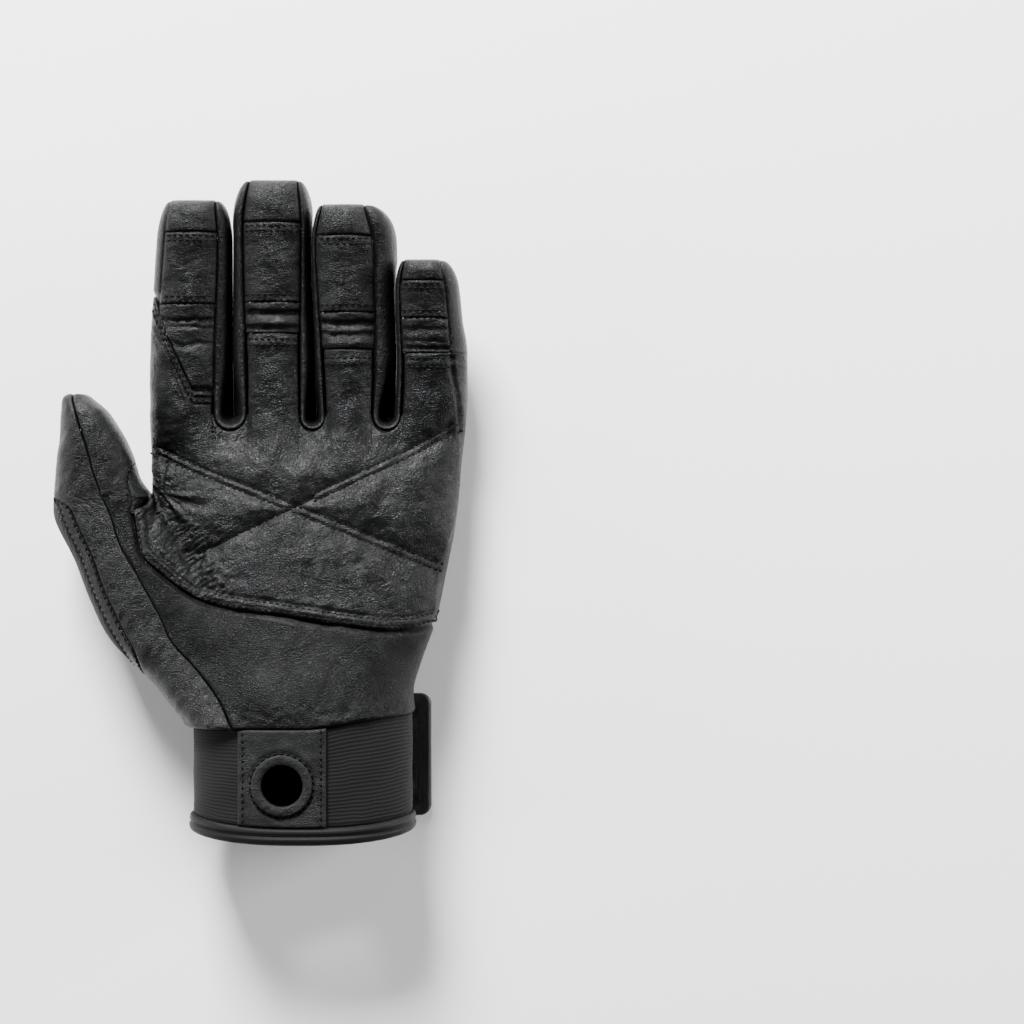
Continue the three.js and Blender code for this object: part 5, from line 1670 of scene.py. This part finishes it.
def build_ribbing(tree, place, row_pitch, loop_pitch):
    bend = figure(tree, "MULTIPLY", noise(tree, place, Scale=90, Detail=2), 0.0018)
    rows = wave(tree, figure(tree, "ADD", along_axis(tree, place, "Y"), bend), row_pitch)
    loops = wave(tree, along_axis(tree, place, "X"), loop_pitch)
    height = figure(tree, "ADD", figure(tree, "MULTIPLY", rows, 0.44), figure(tree, "MULTIPLY", loops, 0.05))
    # The Shade output is painted light and shade: 1 on each row's crown, 0 between the rows.
    return figure(tree, "ADD", height, 0.5), ramp(tree, rows, -1.0, 1.0)


def ribbing():
    """Knit ribs on UV: rows across the length, broken into short loops by a finer wave; the Shade output is
    painted light on the row crowns and painted shade between the rows.
    """
    numbers = {"Row pitch": 0.0011, "Loop pitch": 0.0009}
    return pattern("ribbing", numbers, ("Height", "Shade"), build_ribbing)


def add_group(tree, group, place, values):
    """A node of a pattern's group; returns its outputs."""
    made = tree.nodes.new("ShaderNodeGroup")
    made.node_tree = group
    for name, value in {"Place": place, **values}.items():
        put(tree, made.inputs[name], value)
    return made.outputs


def colour_mix(tree, share, base, dark, light):
    """The base colour times dark to light, by a share that changes over the surface."""
    ends = [(*[min(channel * scale, 1) for channel in base], 1) for scale in (dark, light)]
    return add(tree, "ShaderNodeMix", {0: share, 6: ends[0], 7: ends[1]}, 2, data_type="RGBA")


def bump(tree, height, distance, strength, **before):
    inputs = {"Strength": strength, "Distance": distance, "Height": height, **before}
    return add(tree, "ShaderNodeBump", inputs)


def material_by(name, fill):
    """A material by its name. The first time, fill gives what goes into its shader's sockets."""
    if name in bpy.data.materials:
        return bpy.data.materials[name]
    material = bpy.data.materials.new(name)
    material.use_nodes = True
    tree = material.node_tree
    for label, value in fill(tree).items():
        put(tree, tree.nodes["Principled BSDF"].inputs[label.replace("_", " ")], value)
    return material


def place_by(tree, kind):
    return add(tree, "ShaderNodeTexCoord", output=kind)


def leather_material(name, pebbles, creased, gloss, tone=1.0, shine=0.15):
    """Black leather: pebbles and fine creases in the bump; painted shade darkens its colour in the grain's
    cracks and a painted highlight lightens the pebble tops, and slow random unevenness makes it look worn.
    """
    def fill(tree):
        place = place_by(tree, "Object")
        grain = add_group(tree, leather_grain(), place, {"Pebbles per metre": pebbles, "Stretch": 1.25})
        lines = add_group(tree, fine_creases(), place, {"Creases per metre": 330})
        # Painted shade and highlight: the colour follows the grain's height, dark in its cracks and light on
        # the pebble tops, scaled by the slow random tone.
        share = figure(tree, "MULTIPLY", grain["Height"], ramp(tree, grain["Tone"], 0, 1, 0.65, 1.0))
        rough = figure(tree, "SUBTRACT", ramp(tree, grain["Tone"], 0, 1, gloss + 0.08, gloss),
                       figure(tree, "MULTIPLY", grain["Speck"], 0.12))
        creases_first = bump(tree, lines["Height"], 0.00012, creased)
        return {
            "Base Color": colour_mix(tree, share, colours().leather, 0.55 * tone, 1.3 * tone),
            "Roughness": rough,
            "Normal": bump(tree, grain["Height"], 0.00017, 1.0, Normal=creases_first),
            "Specular IOR Level": shine,
            "IOR": 1.5,
        }

    return material_by(name, fill)


def palm_leather():
    return leather_material("palm leather", 980, 0.2, 0.29, 1.0, 0.12)


def heel_leather():
    return leather_material("heel leather", 980, 0.2, 0.31, 0.85, 0.075)


def smooth_leather():
    return leather_material("finger leather", 1100, 0.5, 0.35)


def tab_leather():
    return leather_material("tab leather", 1100, 0.25, 0.5, 1.35)


def patterned(name, base, shades, group, values, masks, depth, space="UV", **shader):
    """A material whose colour and bump follow a pattern's two masks."""
    def fill(tree):
        made = add_group(tree, group(), place_by(tree, space), values)
        colour = colour_mix(tree, made[masks[0]], base, *shades)
        return {"Base Color": colour, "Normal": bump(tree, made[masks[1]], *depth), **shader}

    return material_by(name, fill)


def speckled(name, base, shades, values, depth, **shader):
    """A material whose colour and bump follow noise."""
    def fill(tree):
        made = noise(tree, place_by(tree, "Object"), **values)
        colour = colour_mix(tree, made, base, *shades)
        return {"Base Color": colour, "Normal": bump(tree, made, *depth), **shader}

    return material_by(name, fill)


def woven_material():
    """Woven back: a dark lattice of threads whose tops are painted a little lighter and whose gaps are
    painted darker, as painted highlight and painted shade.
    """
    return patterned("woven cloth", colours().weave, (0.3, 4.5), lattice, {"Pitch": 0.0017},
                     ("Dot", "Height"), (0.0004, 0.9), Roughness=0.82, Specular_IOR_Level=0.3)


def knit_material():
    """Elastic cuff: fine rows, their colour painted lighter on the crowns and darker between them as painted
    highlight and painted shade, with a soft sheen from the shader.
    """
    return patterned("elastic", colours().elastic, (0.6, 1.25), ribbing,
                     {"Row pitch": 0.00125, "Loop pitch": 0.0011}, ("Shade", "Height"), (0.00016, 0.7),
                     Roughness=0.8, Specular_IOR_Level=0.12, Sheen_Weight=0.02)


def hem_material():
    """Satin binding: fine cross threads, their colour painted lighter on the crowns and darker between them
    as painted highlight and painted shade, and a broad sheen from the shader.
    """
    return patterned("hem binding", colours().hem, (0.8, 1.2), ribbing,
                     {"Row pitch": 0.0009, "Loop pitch": 0.0008}, ("Shade", "Height"), (0.00012, 0.5),
                     Roughness=0.5, Specular_IOR_Level=0.1, Sheen_Weight=0.02)


def rubber_material():
    """Soft moulded pull tab: matt, with fine grain."""
    return patterned("pull tab", colours().tab, (0.8, 1.2), leather_grain,
                     {"Pebbles per metre": 2600, "Stretch": 1}, ("Tone", "Height"), (0.0001, 0.4),
                     "Object", Roughness=0.5, Specular_IOR_Level=0.4)


def thread_material():
    """Waxed thread: twisted, near black, with a soft shine; its colour is set darker than the leather,
    partly the black thread's own colour and partly painted shade in the stitch holes.
    """
    return speckled("thread", colours().thread, (0.7, 1.5), {"Scale": 900, "Detail": 2},
                    (0.00012, 0.5), Roughness=0.7, Specular_IOR_Level=0.1)


def floor_material():
    """Pale paper floor, barely uneven."""
    return speckled("floor paper", colours().floor, (0.985, 1.0), {"Scale": 6, "Detail": 3},
                    (0.0002, 0.1), Roughness=0.9, Specular_IOR_Level=0.2)


# Properties


def length(name, description, default):
    return bpy.props.FloatProperty(
        name=name, description=description, default=default, min=0, subtype="DISTANCE", unit="LENGTH",
        precision=5,
    )


def shade(name, description, default):
    return bpy.props.FloatVectorProperty(
        name=name, description=description, default=default, size=3, min=0, max=1, subtype="COLOR",
    )


class GLOVE_PG_sizes(bpy.types.PropertyGroup):
    leather: length("Leather", "Thickness of the leather panels", 0.0012)
    cloth: length("Cloth", "Thickness of the woven back", 0.0012)
    knit: length("Elastic", "Thickness of the elastic cuff", 0.0016)
    stitch_pitch: length("Stitch pitch", "Distance from one stitch to the next", 0.0023)
    stitch_length: length("Stitch length", "Length of thread that shows in a stitch", 0.0018)
    thread: length("Thread", "Thickness of the thread", 0.0008)
    fine: length("Fine step", "Distance between points where the leather has relief", 0.00062)
    plain: length("Plain step", "Distance between points on the plain pieces", 0.001)
    ring_width: length("Ring width", "Width of the ring round the clip hole", 0.0032)
    ring_height: length("Ring height", "Height of the ring above the tab", 0.0012)
    tab_width: length("Clip tab width", "Width of the leather tab on the cuff", 0.0308)
    strap_width: length("Strap width", "Width of the wrist strap", 0.044)


class GLOVE_PG_colours(bpy.types.PropertyGroup):
    leather: shade("Leather", "Colour of the leather", (0.0046, 0.0048, 0.0052))
    weave: shade("Woven back", "Colour of the woven cloth", (0.009, 0.0092, 0.0098))
    elastic: shade("Elastic", "Colour of the elastic cuff", (0.0042, 0.0043, 0.0047))
    hem: shade("Hem", "Colour of the binding", (0.0035, 0.0036, 0.004))
    tab: shade("Pull tab", "Colour of the pull tab", (0.004, 0.004, 0.0043))
    # The stitching: black thread set darker than the leather, partly its own colour and partly painted shade
    # in the stitch holes.
    thread: shade("Thread", "Colour of the stitching", (0.001, 0.001, 0.0011))
    floor: shade("Floor", "Colour of the floor", (0.9, 0.9, 0.9))


def sizes():
    return bpy.context.scene.glove_sizes


def colours():
    return bpy.context.scene.glove_colours


# Operators


def plan_rows(line, offsets):
    """Lines beside a straight plan line, at offsets square to it."""
    a, b = np.array(line[0], float), np.array(line[1], float)
    way = (b - a) / np.linalg.norm(b - a)
    square = np.array([-way[1], way[0]])
    return [(a + offset * square, b + offset * square) for offset in offsets]


def quilt_rows():
    """The crossed stitching in plan: pairs of rows, and one row only at the low left."""
    scale = np.array([PALM_WIDTH, PALM_LENGTH])
    fall = [np.array(end) * scale for end in QUILT_LINES[0]]
    rise = [np.array(end) * scale for end in QUILT_LINES[1]]
    centre = mix(rise[0], rise[1], QUILT_MEET)
    rows = plan_rows(fall, (-QUILT_ROW, QUILT_ROW))
    rows += plan_rows((rise[0], centre), (-QUILT_ROW, QUILT_ROW))
    rows += [(centre, rise[1])]
    return rows


class GLOVE_OT_palm(bpy.types.Operator):
    """Palm patch with its crossed stitching, and the heel of the hand below it"""

    bl_idname = "glove.palm"
    bl_label = "Palm"

    def execute(self, context):
        step = sizes().fine / MM
        patch = panel("palm_patch", patch_blocks(step), palm_leather(), patch_relief,
                      edge=(patch_edge_drop, 1.4))
        panel("palm_heel", heel_blocks(1.25 * step), heel_leather(), heel_relief,
              edge=(thumb_edge_drop, 1.3), sink=heel_sink)
        body, *lobes = patch.blocks
        lines = [cut(along_edge(body, "first", d), 0.01, 0.94) for d in PATCH_ROWS]
        lines += [front_line(row, patch_relief) for row in quilt_rows()]
        for lobe, rows in zip(lobes, LOBE_ROWS):
            start = 0.1 if lobe is lobes[0] else 0.04
            end = 0.47 if lobe is lobes[-1] else 0.96
            lines += [cut(along_edge(lobe, "last", d), start, end) for d in rows]
        stitches("palm_stitches", lines)
        return {"FINISHED"}


def thumb_edge_drop(x, y):
    """The thumb's front and the heel are one leather: no edge where the two pieces meet."""
    return 0.6 * smoothstep(0.9, 2.2, np.abs(y - NOTCH_Y))


def patch_edge_drop(x, y):
    """How far the patch's edge turns down: less along its curved seam and at the wing."""
    seam = (y < PATCH_SEAM_Y) | (x < PATCH_SEAM_X)
    wing = (y > CROTCH_Y + 6) & (x < INDEX.right(y) - 1) & (y > wing_edge(x) - 3)
    side = smoothstep(LITTLE_MEET_X, LITTLE_MEET_X + 1.5, x) * (y > LITTLE_MEET_Y)
    return np.where(seam | wing, 0.35, 0.8 * (1 - side))


class GLOVE_OT_thumb(bpy.types.Operator):
    """Thumb panels, the strip beside the woven back and the web to the palm"""

    bl_idname = "glove.thumb"
    bl_label = "Thumb"

    def execute(self, context):
        step = sizes().fine / MM * 1.2
        leather = smooth_leather()
        panel("thumb_outer", thumb_outer_blocks(step), leather, thumb_relief)
        front = panel("thumb_front", thumb_front_blocks(step), leather, thumb_relief,
                      edge=(thumb_edge_drop, 1.3))
        strip = panel("rim_strip", strip_blocks(step), leather, edge=(0.7, 1.0))
        panel("thumb_back", thumb_back_blocks(1.3 * step), leather)
        panel("web_side", web_blocks(step), leather, web_relief)
        edges = [along_edge(strip.blocks[0], side, STRIP_ROW) for side in ("left", "right")]
        lines = [cut(line, 0.04, 0.93) for line in edges]
        lines.append(cut(along_edge(front.blocks[0], "right", THUMB_ROW), 0.0, 0.3))
        stitches("thumb_stitches", lines)
        return {"FINISHED"}


class GLOVE_OT_back(bpy.types.Operator):
    """Woven back of the hand"""

    bl_idname = "glove.back"
    bl_label = "Woven back"

    def execute(self, context):
        blocks = back_blocks(1.15)
        uvs = [surface_lengths(block) for block in blocks]
        back = panel("hand_back", blocks, woven_material(), edge=(0.5, 1.0), uvs=uvs,
                     thickness=sizes().cloth)
        return {"FINISHED"}


class GLOVE_OT_fingers(bpy.types.Operator):
    """Caps, pads, joint leather and backs of the four fingers, and the strips at their sides"""

    bl_idname = "glove.fingers"
    bl_label = "Fingers"

    def execute(self, context):
        step = sizes().fine / MM
        coarse = sizes().plain / MM
        leather = smooth_leather()
        lines = []
        for finger in HAND:
            name = finger.name
            panel(f"{name}_tip", tip_blocks(finger, step), leather, tip_relief, edge=(0.45, 1.1))
            pad = panel(f"{name}_pad", pad_blocks(finger, step), leather, hand_relief,
                        edge=(joint_edge_drop, 1.2))
            panel(f"{name}_crease", crease_blocks(finger, step), leather, hand_relief,
                  edge=(joint_edge_drop, 1.2), sink=wing_sink if finger is INDEX else None)
            panel(f"{name}_back", finger_back_blocks(finger, coarse), leather)
            edges = [along_edge(pad.blocks[0], "last", d) for d in PAD_TOP_ROWS]
            edges += [along_edge(pad.blocks[0], "first", d) for d in PAD_LOW_ROWS]
            lines += [cut(line, 0.03, 0.97) for line in edges]
        for gap in GAPS:
            name = f"fourchette_{gap.a.name}_{gap.b.name}"
            panel(name, fourchette_blocks(gap, coarse * 0.8), leather, edge=(0.6, 1.0))
        low = CROTCH_Y + WING_TOP * INDEX.length - 3
        panel("side_index", side_blocks(INDEX, outer_left, 1, INDEX.left, back_left, low, coarse),
              leather, sink=side_sink)
        low = LITTLE.patch_y + INSET
        panel("side_little", side_blocks(LITTLE, outer_right, -1, LITTLE.right, back_right, low, coarse),
              leather, edge=(side_edge_drop, 1.3))
        stitches("finger_stitches", lines)
        return {"FINISHED"}


class GLOVE_OT_cuff(bpy.types.Operator):
    """Elastic cuff and its bound hem"""

    bl_idname = "glove.cuff"
    bl_label = "Cuff"

    def execute(self, context):
        blocks = band_blocks(0.8)
        uvs = [surface_lengths(block) for block in blocks]
        band = panel("cuff_band", blocks, knit_material(), edge=(0.3, 0.6), uvs=uvs,
                     thickness=sizes().knit, hole=CLIP_HOLE)
        blocks = hem_blocks()
        uvs = [surface_lengths(block)[..., ::-1] for block in blocks]
        panel("cuff_hem", blocks, hem_material(), uvs=uvs, thickness=0)
        return {"FINISHED"}


class GLOVE_OT_clip(bpy.types.Operator):
    """Leather tab on the cuff with the clip hole and its raised ring"""

    bl_idname = "glove.clip"
    bl_label = "Clip tab"

    def execute(self, context):
        s = sizes()
        width = s.tab_width / MM
        grow = SEAM_GAP + s.leather / MM
        leather = tab_leather()
        tab = panel("clip_tab", clip_tab_blocks(width, grow, 0.5), leather, clip_relief,
                    edge=(0.35, 0.5), hole=CLIP_HOLE)
        ring = ring_blocks(s.ring_width / MM, s.ring_height / MM, grow + SEAM_GAP)
        panel("clip_ring", ring, leather, clip_ring_relief, thickness=0)
        turn = full_turn(121)
        x = CLIP_X + CLIP_ROW * np.cos(turn)
        y = CLIP_Y + CLIP_ROW * np.sin(turn)
        circle = np.stack([x, y, cuff_top(x, grow) - 0.1], axis=1)
        up = np.broadcast_to([0.0, 0.0, 1.0], circle.shape)
        lines = [along_edge(tab.blocks[0], side, TAB_ROW) for side in ("left", "right")]
        stitches("clip_stitches", [*lines, (circle, up)])
        return {"FINISHED"}


def clip_ring_relief(x, y):
    return 0.06 * ripples(x, y, 4, 72)


class GLOVE_OT_strap(bpy.types.Operator):
    """Wrist strap under the cuff, and its pull tab"""

    bl_idname = "glove.strap"
    bl_label = "Strap"

    def execute(self, context):
        low = WRIST_Y - CUFF_HEIGHT + CUFF_BOW + 0.3 * HEM_HEIGHT
        high = low + sizes().strap_width / MM
        left = CUFF_SHIFT - 0.38 * CUFF_WIDTH
        right = CUFF_SHIFT + 0.4 * CUFF_WIDTH
        end = CUFF_SHIFT + CUFF_WIDTH / 2 + PULL_TAB_REACH
        blocks = plate_blocks(left, right, low, high, 3, 0.5, STRAP_THICKNESS)
        flat = [block[..., :2] for block in blocks]
        strap = panel("closure_strap", blocks, knit_material(), uvs=flat, thickness=0)
        blocks = plate_blocks(right + SEAM_GAP, end, low, high, 0.5, 4, PULL_TAB_THICKNESS)
        panel("closure_tab", blocks, rubber_material(), pull_relief, thickness=0)
        return {"FINISHED"}


def pull_relief(x, y):
    """Fine upright ribs near the pull tab's free edge."""
    end = CUFF_SHIFT + CUFF_WIDTH / 2 + PULL_TAB_REACH
    return 0.12 * np.cos(2 * np.pi * (x - end) / 1.1) * smoothstep(end - 6, end - 5, x)


def area_light(name, place, target, size, energy):
    """A square area light that faces its target."""
    data = bpy.data.lights.new(name, "AREA")
    data.size = size
    data.energy = energy
    lamp = bpy.data.objects.new(name, data)
    bpy.context.scene.collection.objects.link(lamp)
    lamp.location = place
    way = mathutils.Vector(target) - mathutils.Vector(place)
    lamp.rotation_euler = way.to_track_quat("-Z", "Y").to_euler()


class GLOVE_OT_stage(bpy.types.Operator):
    """Pale floor, soft studio lights and the camera straight above the palm"""

    bl_idname = "glove.stage"
    bl_label = "Stage"

    def execute(self, context):
        side = np.linspace(-FLOOR_REACH, FLOOR_REACH, FLOOR_POINTS)
        x, y = np.meshgrid(side, side)
        points = np.stack([x, y, np.full(x.shape, FLOOR_Z)], axis=-1)
        faces = grid_faces(FLOOR_POINTS, FLOOR_POINTS, 0).tolist()
        floor = new_object("floor", points, faces, smooth=False)
        floor.data.materials.append(floor_material())
        for light in LIGHTS:
            area_light(*light)
        world = bpy.data.worlds.new("studio")
        world.use_nodes = True
        room = world.node_tree.nodes["Background"].inputs
        room["Color"].default_value = (1, 1, 1, 1)
        room["Strength"].default_value = ROOM_LIGHT
        context.scene.world = world
        data = bpy.data.cameras.new("camera")
        data.sensor_width = 36
        data.lens = data.sensor_width / 2 / VIEW_SLOPE
        data.clip_start = 0.01
        camera = bpy.data.objects.new("camera", data)
        camera.location = CAMERA_PLACE
        context.scene.collection.objects.link(camera)
        context.scene.camera = camera
        return {"FINISHED"}


class GLOVE_PT_panel(bpy.types.Panel):
    """Sizes, colours and pieces of the climbing glove"""

    bl_idname = "GLOVE_PT_panel"
    bl_label = "Climbing Glove"
    bl_space_type = "VIEW_3D"
    bl_region_type = "UI"
    bl_category = "Glove"

    def draw(self, context):
        layout = self.layout
        for values in (context.scene.glove_sizes, context.scene.glove_colours):
            box = layout.box()
            for name in values.__annotations__:
                box.prop(values, name)
        for operator in OPERATORS:
            layout.operator(operator.bl_idname)


OPERATORS = (
    GLOVE_OT_palm,
    GLOVE_OT_thumb,
    GLOVE_OT_back,
    GLOVE_OT_fingers,
    GLOVE_OT_cuff,
    GLOVE_OT_clip,
    GLOVE_OT_strap,
    GLOVE_OT_stage,
)
CLASSES = (GLOVE_PG_sizes, GLOVE_PG_colours, *OPERATORS, GLOVE_PT_panel)


def register():
    for cls in CLASSES:
        bpy.utils.register_class(cls)
    bpy.types.Scene.glove_sizes = bpy.props.PointerProperty(type=GLOVE_PG_sizes)
    bpy.types.Scene.glove_colours = bpy.props.PointerProperty(type=GLOVE_PG_colours)


def unregister():
    del bpy.types.Scene.glove_colours
    del bpy.types.Scene.glove_sizes
    for cls in reversed(CLASSES):
        bpy.utils.unregister_class(cls)


def main():
    register()
    for name in ("palm", "thumb", "back", "fingers", "cuff", "clip", "strap", "stage"):
        getattr(bpy.ops.glove, name)()


if __name__ == "__main__":
    main()
